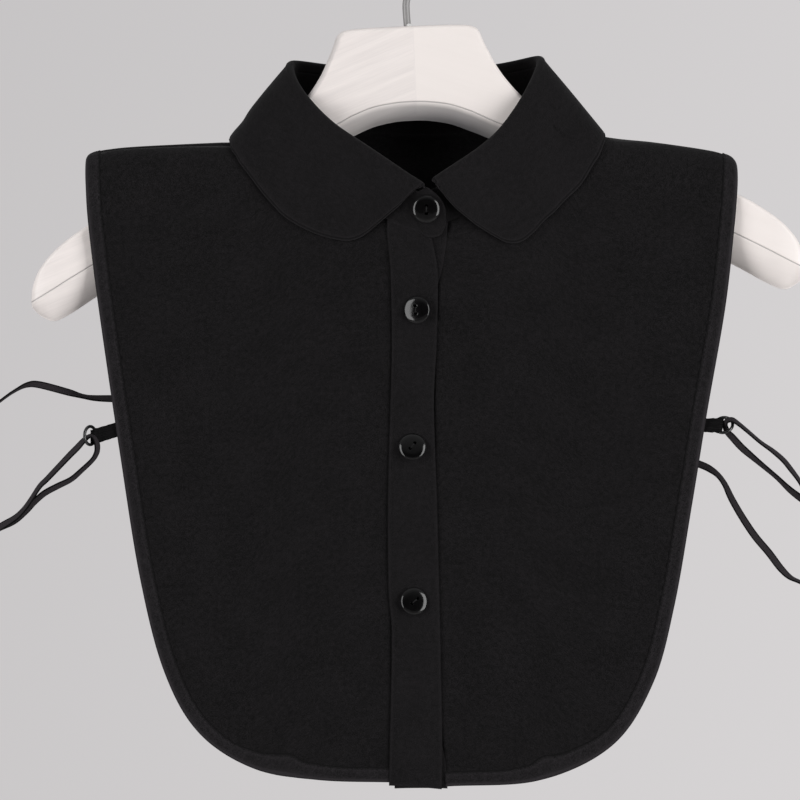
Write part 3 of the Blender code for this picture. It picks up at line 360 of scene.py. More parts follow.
NECK_SEAM = [  # side (-1 is the front), x and height, from the throat round the neck and back to it
    (-1, 8.0, -168.4), (-1, -3.0, -165.2), (-1, -18.0, -158.4), (-1, -34.0, -151.0),
    (-1, -48.0, -143.0), (-1, -59.5, -132.5), (-1, -66.5, -121.0), (-1, -70.2, -110.2),
    (1, -66.0, -112.5), (1, -46.0, -113.5), (1, -22.0, -114.2), (1, 3.0, -114.5),
    (1, 28.0, -114.2), (1, 52.0, -113.0), (1, 71.0, -109.5), (-1, 75.4, -106.2), (-1, 71.0, -118.5),
    (-1, 64.0, -131.5), (-1, 53.0, -143.0), (-1, 41.0, -151.5), (-1, 28.0, -158.6),
    (-1, 14.0, -165.0), (-1, 5.0, -168.0),
]  # fmt: skip


def flattened(line, side=1):
    """A line of (x, height) points on the flat garment: down its front, or down its back."""
    return np.stack([line[:, 0], side * down_to(line[:, 0], line[:, 1])], -1)


def garment_edge(rows, side):
    """One half of the outer edge, from the front hem over the shoulder's fold to the back hem."""
    rows = np.array(rows)
    inset = np.clip((-128.0 - rows[:, 1]) / 60.0, 0.0, 1.0)
    shorter = np.clip((-300.0 - rows[:, 1]) / 140.0, 0.0, 1.0)
    back_rows = rows + np.stack([-side * BACK_INSET * inset, BACK_SHORTER * shorter], -1)
    back_rows[-1, 0] = 0.0
    front = flattened(evenly(spline(rows, 12), 200))
    back = flattened(evenly(spline(back_rows, 12), 200), -1)
    front[0, 1] = back[0, 1] = 0.0
    return evenly(np.vstack([front[::-1], back[1:]]), 1500)


right_edge = garment_edge(RIGHT_EDGE, -1)
left_edge = garment_edge(LEFT_EDGE, 1)
neck_rows = [(x, -side * float(down_to(x, z))) for side, x, z in NECK_SEAM]
neck_seam = beside(spline(neck_rows, 8), UNDER_STAND)


def inside(points, outline):
    """Which flat points lie inside a closed outline."""
    a, b = outline, np.roll(outline, -1, axis=0)
    x, s = points[:, :1], points[:, 1:]
    spans = (a[:, 1] > s) != (b[:, 1] > s)
    rise = np.where(a[:, 1] == b[:, 1], 1.0, b[:, 1] - a[:, 1])
    crossing = a[:, 0] + (s - a[:, 1]) / rise * (b[:, 0] - a[:, 0])
    return (spans & (crossing > x)).sum(1) % 2 == 1


def nearest(points, line):
    """For each flat point the nearest place on a line, how far that is, and how far along it."""
    a, edge = line[:-1], np.diff(line, axis=0)
    t = ((points[:, None] - a) * edge).sum(2) / np.maximum((edge**2).sum(1), 1e-9)
    t = np.clip(t, 0.0, 1.0)
    spots = a + t[..., None] * edge
    away = np.linalg.norm(points[:, None] - spots, axis=2)
    best = away.argmin(1)
    row = np.arange(len(points))
    along = run_along(line)[best] + t[row, best] * np.linalg.norm(edge, axis=1)[best]
    return spots[row, best], away[row, best], along


def grid_faces(rows, columns):
    """The faces of a net of points, rows by columns."""
    number = np.arange(rows * columns).reshape(rows, columns)
    corners = [number[:-1, :-1], number[:-1, 1:], number[1:, 1:], number[1:, :-1]]
    return np.stack([c.ravel() for c in corners], -1)


def cut_cloth(outline, start):
    """Square cells cut to an outline: their flat points and faces. Rows start at s = start."""
    low, high = outline.min(0), outline.max(0)
    xs = np.arange(low[0] - CELL, high[0] + CELL, CELL)
    below = np.arange(start, low[1] - CELL, -CELL)[::-1]
    ss = np.concatenate([below, np.arange(start + CELL, high[1] + CELL, CELL)])
    flat = np.stack(np.meshgrid(xs, ss), -1)
    middles = (flat[:-1, :-1] + flat[1:, 1:]) / 2
    kept = inside(middles.reshape(-1, 2), outline)
    used, faces = np.unique(grid_faces(*flat.shape[:2])[kept], return_inverse=True)
    faces = faces.reshape(-1, 4)
    flat = flat.reshape(-1, 2)[used]
    count = np.bincount(faces.ravel(), minlength=len(flat))
    rim = count < 4
    flat[rim] = nearest(flat[rim], np.vstack([outline, outline[:1]]))[0]
    before, after = (np.roll(outline, step, axis=0) - outline for step in (1, -1))
    lengths = np.linalg.norm(before, axis=1) * np.linalg.norm(after, axis=1)
    turn = (before * after).sum(1) / np.maximum(lengths, 1e-9)
    for corner in outline[turn > -0.75]:
        away = np.where(rim, np.linalg.norm(flat - corner, axis=1), np.inf)
        flat[away.argmin()] = corner
    return flat, faces


def new_object(name, data):
    made = bpy.data.objects.new(name, data)
    bpy.context.collection.objects.link(made)
    return made


def shell(name, top, bottom, faces, flat, material, painted_light=None):
    """A closed wall of cloth between two layers of points, joined where they meet at an edge."""
    faces = [list(map(int, f)) for f in faces]
    n = len(top)
    work = bmesh.new()
    # each point carries a value that paints highlights and shade onto the finish's colour
    layer = work.verts.layers.float.new("painted_light")
    verts = [work.verts.new(p) for p in np.vstack([top, bottom])]
    if painted_light is not None:
        for vert, value in zip(verts, np.tile(np.ravel(painted_light), 2)):
            vert[layer] = value
    uv = work.loops.layers.uv.new("flat")
    directed = {(f[k], f[(k + 1) % len(f)]) for f in faces for k in range(len(f))}
    rims = [(a, b) for a, b in directed if (b, a) not in directed]
    whole = faces + [[n + i for i in reversed(f)] for f in faces]
    whole += [[b, a, n + a, n + b] for a, b in sorted(rims)]
    for corners in whole:
        face = work.faces.new([verts[i] for i in corners])
        face.smooth = True
        for loop, i in zip(face.loops, corners):
            loop[uv].uv = flat[i % n]
    bmesh.ops.remove_doubles(work, verts=work.verts, dist=1e-6)
    bmesh.ops.dissolve_degenerate(work, edges=work.edges, dist=1e-6)
    bmesh.ops.recalc_face_normals(work, faces=work.faces)
    mesh = bpy.data.meshes.new(name)
    work.to_mesh(mesh)
    work.free()
    mesh.materials.append(material)
    piece = new_object(name, mesh)
    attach(piece, "root")
    return piece


def gathers(along):
    """The uneven beat of the small waves that a row of stitches pulls into cloth."""
    return np.sin(2 * math.pi * along / GATHER + 1.1 * np.sin(along / 17.0))


def add_panel(name, outline, start, seam, shoulder_at):
    """One body panel, puckered beside its bound edge and rolled under along the shoulder seam."""
    flat, faces = cut_cloth(outline, start)
    _, away, along = nearest(flat, seam)
    level = PUCKER * gathers(along) * hump(away, 0.0, PUCKER_REACH)
    roll = SEAM_ROLL * hump(flat[:, 1], shoulder_at(flat), 0.8)
    top = lay(*flat.T, level + PANEL_HALF - roll)
    bottom = lay(*flat.T, level - PANEL_HALF)
    piece = shell(name, top, bottom, faces, flat, black_crepe)
    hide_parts(name)
    return piece


def add_front(name, edge, side, shoulder, centre):
    """A front panel: down its bound edge, along the hem, up the centre, the neck, the shoulder."""
    edge = edge[edge[:, 1] >= shoulder]
    seam = beside(edge, -side * BINDING_WIDTH)
    hidden = beside(edge, -side * UNDER_BINDING)
    top, bottom = centre[0], centre[-1]
    hidden = hidden[side * (hidden[:, 0] - bottom[0]) > 0]
    neck = neck_seam[(neck_seam[:, 1] > shoulder) & (side * (neck_seam[:, 0] - top[0]) > 0)]
    neck = neck[np.argsort(-side * neck[:, 0])]
    corner = [[neck[0, 0], shoulder]]
    outline = np.vstack([hidden[::6], corner, neck, centre])
    return add_panel(name, outline, shoulder, seam[::8], lambda flat: shoulder)


RIGHT_CENTRE = [(-9.2, -160.5), (-9.2, -450.0)]  # x and height of the panels' centre edges
LEFT_CENTRE = [
    (18.2, -163.4), (17.6, -173.0), (15.6, -185.0), (12.4, -203.0), (11.2, -260.0), (11.2, -380.0),
    (12.6, -410.0), (15.0, -427.0), (17.6, -441.0), (18.0, -451.0),
]  # fmt: skip


def centre_line(rows):
    return flattened(evenly(spline(rows, 12), 90))


GAP = 0.04  # between two edges that are sewn together
front_right = add_front(
    "front_panel_right", right_edge, -1, SHOULDER_SEAM_RIGHT + GAP, centre_line(RIGHT_CENTRE)
)
front_left = add_front(
    "front_panel_left", left_edge, 1, SHOULDER_SEAM_LEFT + GAP, centre_line(LEFT_CENTRE)
)


def add_back():
    """The back panel: down one bound edge, along the hem and up the other, then in to the neck."""
    right = right_edge[right_edge[:, 1] <= SHOULDER_SEAM_RIGHT]
    left = left_edge[left_edge[:, 1] <= SHOULDER_SEAM_LEFT]
    edge = np.vstack([right, left[-2::-1]])
    seam = beside(edge, BINDING_WIDTH)
    hidden = beside(edge, UNDER_BINDING)
    hidden[0, 1], hidden[-1, 1] = SHOULDER_SEAM_RIGHT, SHOULDER_SEAM_LEFT
    first = int(np.argmax(neck_seam[:, 1] < SHOULDER_SEAM_RIGHT))
    last = len(neck_seam) - 1 - int(np.argmax(neck_seam[::-1, 1] < SHOULDER_SEAM_LEFT))
    neck = neck_seam[first : last + 1][::-1]
    left_corner = [[neck[0, 0], SHOULDER_SEAM_LEFT]]
    right_corner = [[neck[-1, 0], SHOULDER_SEAM_RIGHT]]
    outline = np.vstack([hidden[::6], hidden[-1:], left_corner, neck, right_corner])
    seam_of_side = np.array([SHOULDER_SEAM_RIGHT, SHOULDER_SEAM_LEFT])
    piece = add_panel(
        "back_panel",
        outline,
        SHOULDER_SEAM_RIGHT,
        seam[::8],
        lambda flat: seam_of_side[(flat[:, 0] > 0).astype(int)],
    )
    return piece, edge


back, back_edge = add_back()

# ---------------------------------------------------------------------------------------------
# The bindings: bias strips of the same crepe, folded round the raw edges of the panels and sewn
# down with one row of stitches beside their inner fold. They join at the shoulder seams.

BINDING_STEP = 0.7  # of the mesh along the binding
STITCH_LINE = 6.55  # from the outer fold
BINDING_PROFILE = [  # distance from the outer fold, half of the thickness
    (0.0, 0.0), (0.05, 0.14), (0.25, 0.36), (0.6, 0.62), (1.1, 0.86), (1.8, 1.04), (2.7, 1.14),
    (3.7, 1.12), (4.8, 1.02), (5.8, 0.92), (6.3, 0.8), (6.55, 0.75), (6.8, 0.8), (7.2, 0.9),
    (7.5, 0.86), (7.7, 0.68), (7.78, 0.4), (7.8, 0.0),
]  # fmt: skip
# painted light on the bindings: a highlight near the outer fold, a faint one by the stitches, and
# painted shade in the groove at the inner edge
BINDING_PAINTED_LIGHT = [(0.85, 0.9, 0.75), (0.25, 6.2, 0.5), (-1.2, 7.65, 0.62)]  # from the outer fold
STITCH_DIMPLE = 0.07
STITCH_PITCH = 2.6
STITCH_LONG = 2.0
STITCH_LEVEL = 0.82  # above the binding's middle
THREAD_RADIUS = 0.15


def mottled(name, scales, detail, dark, light, rough, depth, **constants):
    """A finish whose colour, roughness and height all follow one noise."""
    material, paint, shader = new_finish(name, **constants)
    spots = paint.noise(paint.stretched(paint.place(), scales), 1.0, detail)
    colour = paint.between(spots, dark, light)
    finish_with(paint, shader, colour, spots * rough[0] + rough[1], spots, depth)
    return material


# Spun sewing thread, with a soft shine on its twist.
black_thread = mottled(
    "black_thread", (2600.0, 2600.0, 2600.0), 2.0, (0.0025, 0.0022, 0.0025),
    (0.0085, 0.0078, 0.0084), (0.2, 0.45), 0.00004, Specular_IOR_Level=0.15, Sheen_Weight=0.05,
)  # fmt: skip


def add_stitches(name, flat, level, stitch, pitch):
    """A row of sewn stitches along a flat line: short rounded threads, sunk at their ends."""
    fine = evenly(flat, max(int(run_along(flat)[-1] / 0.25), 8))
    far = run_along(fine)
    count = int(far[-1] / pitch)
    middles = (np.arange(count) + 0.5) * pitch
    shape = [  # along the stitch, its rise and its thickness
        (-0.5, -0.16, 0.35), (-0.4, 0.0, 0.85), (0.0, 0.05, 1.0), (0.4, 0.0, 0.85),
        (0.5, -0.16, 0.35),
    ]  # fmt: skip
    sides = 6
    rings = []
    for along, rise, thick in shape:
        at = middles + along * stitch
        x, s = (np.interp(at, far, fine[:, k]) for k in range(2))
        rings.append((lay(x, s, np.full(count, level + rise)), thick))
    ahead = unit(rings[-1][0] - rings[0][0])
    out = rings[2][0] - (rings[0][0] + rings[-1][0]) / 2
    out = unit(out - (out * ahead).sum(1, keepdims=True) * ahead)
    side = np.cross(ahead, out)
    points, faces = [], []
    for ring, thick in rings:
        for k in range(sides):
            a = 2 * math.pi * k / sides
            round_it = out * math.cos(a) + side * math.sin(a)
            points.append(ring + round_it * THREAD_RADIUS * thick * MM)
    points = np.stack(points, 1).reshape(-1, 3)
    one = []
    for low in range(0, (len(shape) - 1) * sides, sides):
        for k in range(sides):
            after = (k + 1) % sides
            one.append((low + k, low + after, low + sides + after, low + sides + k))
    each = len(shape) * sides
    for n in range(count):
        faces += [[n * each + i for i in f] for f in one]
        faces.append([n * each + k for k in reversed(range(sides))])
        faces.append([n * each + each - sides + k for k in range(sides)])
    mesh = bpy.data.meshes.new(name)
    mesh.from_pydata(points.tolist(), [], faces)
    mesh.shade_smooth()
    mesh.materials.append(black_thread)
    piece = new_object(name, mesh)
    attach(piece, "root")
    return piece


def add_binding(node, edge, side):
    """A folded strip along an edge, dipped at every stitch, and its row of stitches."""
    outer = evenly(edge, int(run_along(edge)[-1] / BINDING_STEP))
    distance, half = np.array(BINDING_PROFILE).T
    lines = [beside(outer, side * d) for d in distance]
    for line in lines:
        line[0] += (outer[0] - line[0]) * [0.0, abs(outer[0, 1] - line[0, 1]) < 3]
    flat = np.stack(lines, 1)
    along = np.arange(len(outer))[:, None] * BINDING_STEP
    beat = np.cos(2 * math.pi * along / STITCH_PITCH)
    dimple = STITCH_DIMPLE * hump(distance, STITCH_LINE, 2.0) * beat
    level = 0.1 * gathers(along) * np.clip(distance / BINDING_WIDTH, 0.0, 1.0) ** 2
    half = half + dimple * (half > 0.7)
    faces = grid_faces(*flat.shape[:2])
    flat = flat.reshape(-1, 2)
    top = lay(*flat.T, (level + half).ravel())
    bottom = lay(*flat.T, (level - half).ravel())
    painted_light = np.broadcast_to(humps(distance, BINDING_PAINTED_LIGHT), half.shape)
    piece = shell(node, top, bottom, faces, flat, bias_crepe, painted_light)
    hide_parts(node)
    row = beside(outer, side * STITCH_LINE)
    stitches = add_stitches(
        f"stitches_{node}", row, STITCH_LEVEL, STITCH_LONG, STITCH_PITCH
    )
    return piece, stitches


right_front_edge = right_edge[right_edge[:, 1] >= SHOULDER_SEAM_RIGHT + GAP]
left_front_edge = left_edge[left_edge[:, 1] >= SHOULDER_SEAM_LEFT + GAP]
binding_right = add_binding("binding_front_right", right_front_edge, 1)
binding_left = add_binding("binding_front_left", left_front_edge, -1)
binding_back = add_binding("binding_back", back_edge, 1)

# ---------------------------------------------------------------------------------------------
# The plackets: two folded bands down the centre front. The one with the buttonholes is sewn to the
# wearer's right front and lies on top. The one with the buttons ends the left front, below it.

PLACKET = [  # z, left edge, right edge
    (-452.4, -11.8, 15.4), (-437.0, -11.5, 15.8), (-372.0, -10.4, 14.6), (-351.0, -12.0, 14.1),
    (-304.0, -12.3, 12.9), (-254.0, -11.0, 11.4), (-224.0, -10.3, 12.7), (-188.0, -10.8, 13.2),
    (-177.0, -11.6, 11.6), (-170.2, -12.3, 10.0), (-161.0, -12.6, 9.2),
]  # fmt: skip
PLACKET_TOP = (-160.4, -169.2)  # its neck end at the left and the right, under the stand
PLACKET_HEM = (-452.0, -453.9)
PLACKET_LEVEL = 1.28  # of the top band's middle, above the panels'
PLACKET_HALF = 0.64  # half of its thickness
PLACKET_STEP = 0.45  # of its mesh
TOPSTITCH = 1.9  # in from the band's sewn edge
TOPSTITCH_PITCH = 1.75
TOPSTITCH_LONG = 1.25
UNDER_LEFT = -8.9
UNDER_TOP = (-169.8, -161.6)  # the lower band's neck end at the left and the right
UNDER_CORNER = 18.3  # x of its right corner at the neck
UNDER_HEM = -453.6
UNDER_LAP = 0.4  # of its right side past the left front's edge
# painted light on the plackets: a highlight just in from their folded edges, and painted shade at
# the edges themselves
PLACKET_PAINTED_LIGHT = [(0.3, 0.5, 0.5), (-0.35, 0.0, 0.3)]  # from the nearest folded edge
CREASE = 0.3  # the height of a crease ironed across the top band, and where it is
CREASE_AT = 160.5
EDGE_STEPS = (0.0, 0.06, 0.22, 0.5, 0.9)  # of a mesh in from a folded edge


def edged(length, step):
    """Places across a piece of cloth: close together at both folded edges, even between them."""
    close = np.array(EDGE_STEPS)
    inner = length - 2 * close[-1]
    middle = np.linspace(0.0, inner, max(int(inner / step), 2) + 1)[1:-1] + close[-1]
    return np.concatenate([close, middle, length - close[::-1]]) / length


def folded(away, half):
    """Half of the thickness of folded cloth, at distances from its nearest edge."""
    return half * np.sqrt(1 - (1 - np.clip(away / half, 0.0, 1.0)) ** 2)


def add_placket(node, left, right, step, level_at, half):
    """A band of cloth between two flat lines, folded at all its edges."""
    down = edged(run_along(left)[-1], step)
    width = float(np.abs(right[:, 0] - left[:, 0]).mean())
    over = edged(width, 1.1)
    u = down * (len(left) - 1)
    left, right = spline_at(left, u), spline_at(right, u)
    flat = left[:, None] * (1 - over[:, None]) + right[:, None] * over[:, None]
    to_end = np.minimum(down, 1 - down)[:, None] * run_along(left)[-1]
    to_side = np.minimum(over, 1 - over)[None] * width
    to_fold = np.minimum(to_end, to_side)
    half = folded(to_fold, half).ravel()
    painted_light = humps(to_fold, PLACKET_PAINTED_LIGHT)
    faces = grid_faces(*flat.shape[:2])
    flat = flat.reshape(-1, 2)
    level = level_at(flat, (over[None] * width + 0 * down[:, None]).ravel())
    top = lay(*flat.T, level + half)
    bottom = lay(*flat.T, level - half)
    piece = shell(node, top, bottom, faces, flat, pressed_crepe, painted_light)
    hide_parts(node)
    return piece


def placket_side(column, top, hem):
    """A side of the top band, from the neck to the hem."""
    z = np.linspace(top, hem, 60)
    x = smooth_table([(row[0], row[column]) for row in PLACKET])(z)
    return flattened(np.stack([x, z], -1))


def top_placket_level(flat, from_left):
    """Its ripples beside the topstitching, a pressed crease across it, and its slack."""
    x, s = flat.T
    ripple = 0.085 * np.sin(2 * math.pi * s / TOPSTITCH_PITCH) * hump(from_left, 2.0, 1.3)
    crease = CREASE * hump(s + 0.09 * x, CREASE_AT, 1.6)
    slack = 0.14 * np.sin(s / 9.0 + 0.7 * np.sin(s / 31.0)) * np.clip(from_left / 22.0, 0, 1) ** 2
    return PLACKET_LEVEL + ripple + crease + slack


top_left = placket_side(1, PLACKET_TOP[0], PLACKET_HEM[0])
top_right = placket_side(2, PLACKET_TOP[1], PLACKET_HEM[1])
placket_top = add_placket(
    "placket_top", top_left, top_right, PLACKET_STEP, top_placket_level, PLACKET_HALF
)
topstitch_line = beside(evenly(top_left, 200), -TOPSTITCH)[3:-1]
on_top = PLACKET_LEVEL + PLACKET_HALF + 0.02
topstitches = add_stitches(
    "stitches_placket", topstitch_line, on_top, TOPSTITCH_LONG, TOPSTITCH_PITCH
)

under_left = flattened(np.linspace((UNDER_LEFT, UNDER_TOP[0]), (UNDER_LEFT, UNDER_HEM), 60))
under_corner = flattened(np.array([[UNDER_CORNER, UNDER_TOP[1]]]))
under_right = evenly(np.vstack([under_corner, centre_line(LEFT_CENTRE)]), 60) + [UNDER_LAP, 0.0]
under_right[-1, 1] = down_to(18.0, UNDER_HEM)
placket_under = add_placket(
    "placket_under", under_left, under_right, 2.0, lambda flat, across: 0.0 * across, PANEL_HALF
)

# ---------------------------------------------------------------------------------------------
# The collar: a stand sewn to the neckline, and a fall with round points turned down over it. Both
# are two layers of crepe over interfacing, sewn face to face and turned out, so their edges are
# rolled. The roll stands up round the neck, and the points lie on the front panels.

COLLAR_FOLD = [  # the top of the fold, from the throat at the left round the back to the right
    (6.7, -31.2, -142.4), (-1.0, -30.2, -137.7), (-13.4, -27.0, -129.0), (-27.7, -22.0, -119.2),
    (-40.7, -17.5, -110.3), (-51.5, -13.0, -99.2), (-59.5, -6.8, -88.8), (-63.7, 2.0, -78.4),
    (-60.6, 12.5, -76.0), (-42.6, 22.5, -77.8), (-20.3, 27.5, -79.8), (3.0, 29.0, -80.4),
    (26.6, 27.5, -79.2), (48.9, 22.5, -76.8), (65.1, 12.5, -73.6), (67.3, 2.0, -75.9),
    (62.8, -6.8, -86.2), (57.0, -13.0, -96.6), (46.5, -18.0, -112.2), (36.0, -22.3, -122.1),
    (24.7, -26.3, -130.0), (15.5, -29.0, -136.1), (9.9, -29.9, -139.9),
]  # fmt: skip
COLLAR_EDGE = [  # how far along the fold's rows, side, x, z and how far it lies off the panel
    (0.0, -1, 4.6, -145.4, 10.0), (0.45, -1, -0.7, -149.4, 8.2), (1.0, -1, -6.4, -154.9, 6.0),
    (1.4, -1, -11.6, -158.9, 4.3), (1.85, -1, -17.6, -163.7, 3.0), (2.15, -1, -22.5, -167.5, 2.4),
    (2.45, -1, -27.5, -170.3, 2.0), (2.85, -1, -34.5, -171.4, 1.8), (3.3, -1, -46.5, -168.7, 1.7),
    (3.85, -1, -57.6, -163.9, 1.6), (4.15, -1, -63.4, -160.4, 1.6), (4.75, -1, -72.3, -151.9, 1.6),
    (5.4, -1, -81.1, -141.1, 1.6), (6.0, -1, -88.9, -130.8, 1.6), (6.5, -1, -92.8, -124.6, 1.6),
    (7.0, -1, -94.2, -119.9, 1.6), (7.5, 1, -92.4, -121.6, 1.6), (8.0, 1, -87.5, -128.0, 1.6),
    (9.0, 1, -62.0, -137.0, 1.9), (10.0, 1, -31.0, -138.0, 2.0), (11.0, 1, 3.0, -138.5, 2.0),
    (12.0, 1, 37.0, -138.0, 2.0), (13.0, 1, 68.0, -136.5, 1.9), (14.0, 1, 92.5, -126.5, 1.6),
    (14.5, 1, 97.4, -120.6, 1.6), (15.0, -1, 99.4, -118.6, 1.6), (15.5, -1, 98.0, -123.6, 1.6),
    (16.0, -1, 93.8, -131.4, 1.6), (16.65, -1, 87.2, -142.0, 1.6), (17.4, -1, 78.4, -150.8, 1.6),
    (18.05, -1, 70.4, -158.8, 1.6), (18.5, -1, 64.2, -165.0, 1.7), (18.8, -1, 60.0, -169.0, 1.8),
    (19.0, -1, 57.0, -171.2, 1.8), (19.15, -1, 53.8, -172.4, 1.8), (19.3, -1, 50.5, -172.6, 1.9),
    (19.48, -1, 47.2, -171.9, 2.0), (19.75, -1, 42.6, -169.6, 2.2), (20.05, -1, 37.6, -166.8, 2.7),
    (20.45, -1, 32.0, -163.5, 3.9), (20.85, -1, 26.8, -159.7, 5.3), (21.15, -1, 22.2, -156.3, 6.6),
    (21.55, -1, 17.6, -151.9, 8.2), (21.9, -1, 13.8, -146.8, 9.5), (22.0, -1, 12.9, -145.0, 9.8),
]  # fmt: skip
COLLAR_HALF = 0.75  # half of the fall's thickness
STAND_HALF = 0.7
ROLL_RADIUS = 1.6  # at the middle of the cloth
ROLL_LEG = 5.0  # how far the fall goes down inside the roll
THROAT_CORNER = 2.6  # how far the fall's ends are rounded
STAND_LIFT = 0.2  # of the stand's lower edge, off the neck seam
THROAT_SECTIONS = 10  # over which the stand's ends come to lie over each other
LAP_RIGHT = (0.6, 2.0)  # how far out the stand's ends are moved, at their top and bottom
LAP_LEFT = (-1.0, -1.0)
STAND_RIGHT_END = [  # x, top, bottom, y at the top and y at the bottom
    (17.2, -157.4, -161.6, -28.2, -27.4),
    (16.6, -153.8, -165.2, -28.5, -27.2),
    (14.6, -150.0, -168.6, -29.0, -27.0),
    (11.0, -146.6, -170.0, -29.4, -26.8),
    (7.0, -144.2, -169.6, -29.5, -26.6),
]
STAND_LEFT_END = [(3.0, -147.0, -166.6, -26.2, -24.0), (-2.0, -147.2, -167.3, -25.8, -23.7)]
# the places of the fall's mesh, in from its outer edge
RIM_STEPS = (2.6, 2.3, 2.0, 1.7, 1.45, 1.2, 1.0, 0.8, 0.6, 0.42, 0.26, 0.13, 0.04, 0.0)
RIM_GROOVE = 1.15  # in from the fall's outer edge
RIM_GROOVE_DEPTH = 0.2
# painted light on the fall: a highlight along its rim, painted shade in the groove beside it, and a
# fainter highlight beyond
FALL_PAINTED_LIGHT = [(0.6, 0.35, 0.45), (-0.85, RIM_GROOVE, 0.35), (0.5, 2.0, 0.45)]  # from its rim
FALL_BOW = 2.0  # the most that it stands out between its roll and its edge
FALL_HOLLOW = [(1.0, 12.0, 4.5), (-0.6, 3.5, 4.0)]  # from its edge, over the right shoulder
STAND_STEPS = (0.0, 0.06, 0.22, 0.5, 0.9, 1.6)  # of the stand's mesh, in from its edges
# painted light on the stand: a highlight just in from its edges, and painted shade at the edges
# themselves
STAND_PAINTED_LIGHT = [(0.35, 0.5, 0.5), (-0.3, 0.0, 0.3)]  # from its nearest edge
STAND_PUCKER = 0.06


def flowing(rows, u, width=0.4):
    """Places on a smooth curve through the rows, with its small kinks evened out."""
    fine = spline(rows, 12)
    reach = int(width * 30)
    weights = np.exp(-((np.arange(-reach, reach + 1) / (12 * width)) ** 2) / 2)
    before = 2 * fine[0] - fine[reach:0:-1]
    after = 2 * fine[-1] - fine[-2 : -2 - reach : -1]
    whole = np.vstack([before, fine, after])
    weights /= weights.sum()
    even = [np.convolve(column, weights, "valid") for column in whole.T]
    at = np.arange(len(fine)) / 12
    return np.stack([np.interp(u, at, line) for line in even], -1)


def collar_sections(u):
    """The collar at places along its rows: the roll's middle and its directions, seam and edge."""
    centre = np.array([CENTRE_FRONT_X, 0.0, 0.0])
    last = len(COLLAR_FOLD) - 1
    fold = flowing(COLLAR_FOLD, u) + centre
    before, after = (flowing(COLLAR_FOLD, np.clip(u + step, 0, last)) for step in (-0.33, 0.33))
    ahead = unit(after - before)
    outward = unit(np.stack([-ahead[:, 1], ahead[:, 0], 0 * u], -1))
    outward *= np.sign((outward * (fold - centre)).sum(1, keepdims=True))
    up = np.cross(outward, ahead)
    up *= np.sign(up[:, 2:])
    seam = lay(*spline_at(neck_rows, u).T, 0 * u) / MM
    rows = [(at, x, -side * float(down_to(x, z)), off) for at, side, x, z, off in COLLAR_EDGE]
    edge = lay(*(smooth_table([(row[0], row[k]) for row in rows])(u) for k in (1, 2, 3))) / MM
    crest = fold - up * (ROLL_RADIUS + COLLAR_HALF)
    inward = unit(seam - crest + outward * ROLL_RADIUS)
    leg = np.minimum(ROLL_LEG, 0.6 * np.linalg.norm(edge - fold, axis=1)) - ROLL_RADIUS * 0.6
    return crest, up, outward, inward, leg[:, None], seam, edge


def free_wall(name, middle, half, flat, material, painted_light=None):
    """A wall of cloth round a net of points in space, rows by columns, all in millimetres."""
    down, across = np.gradient(middle, axis=0), np.gradient(middle, axis=1)
    out = unit(np.cross(down, across))
    top = (middle + out * half[..., None]).reshape(-1, 3) * MM
    bottom = (middle - out * half[..., None]).reshape(-1, 3) * MM
    faces = grid_faces(*middle.shape[:2])
    return shell(name, top, bottom, faces, flat.reshape(-1, 2), material, painted_light)


def far_across(net):
    """How far each point of a net is along its row."""
    steps = np.linalg.norm(np.diff(net, axis=1), axis=2)
    return np.concatenate([np.zeros((len(net), 1)), np.cumsum(steps, axis=1)], 1)


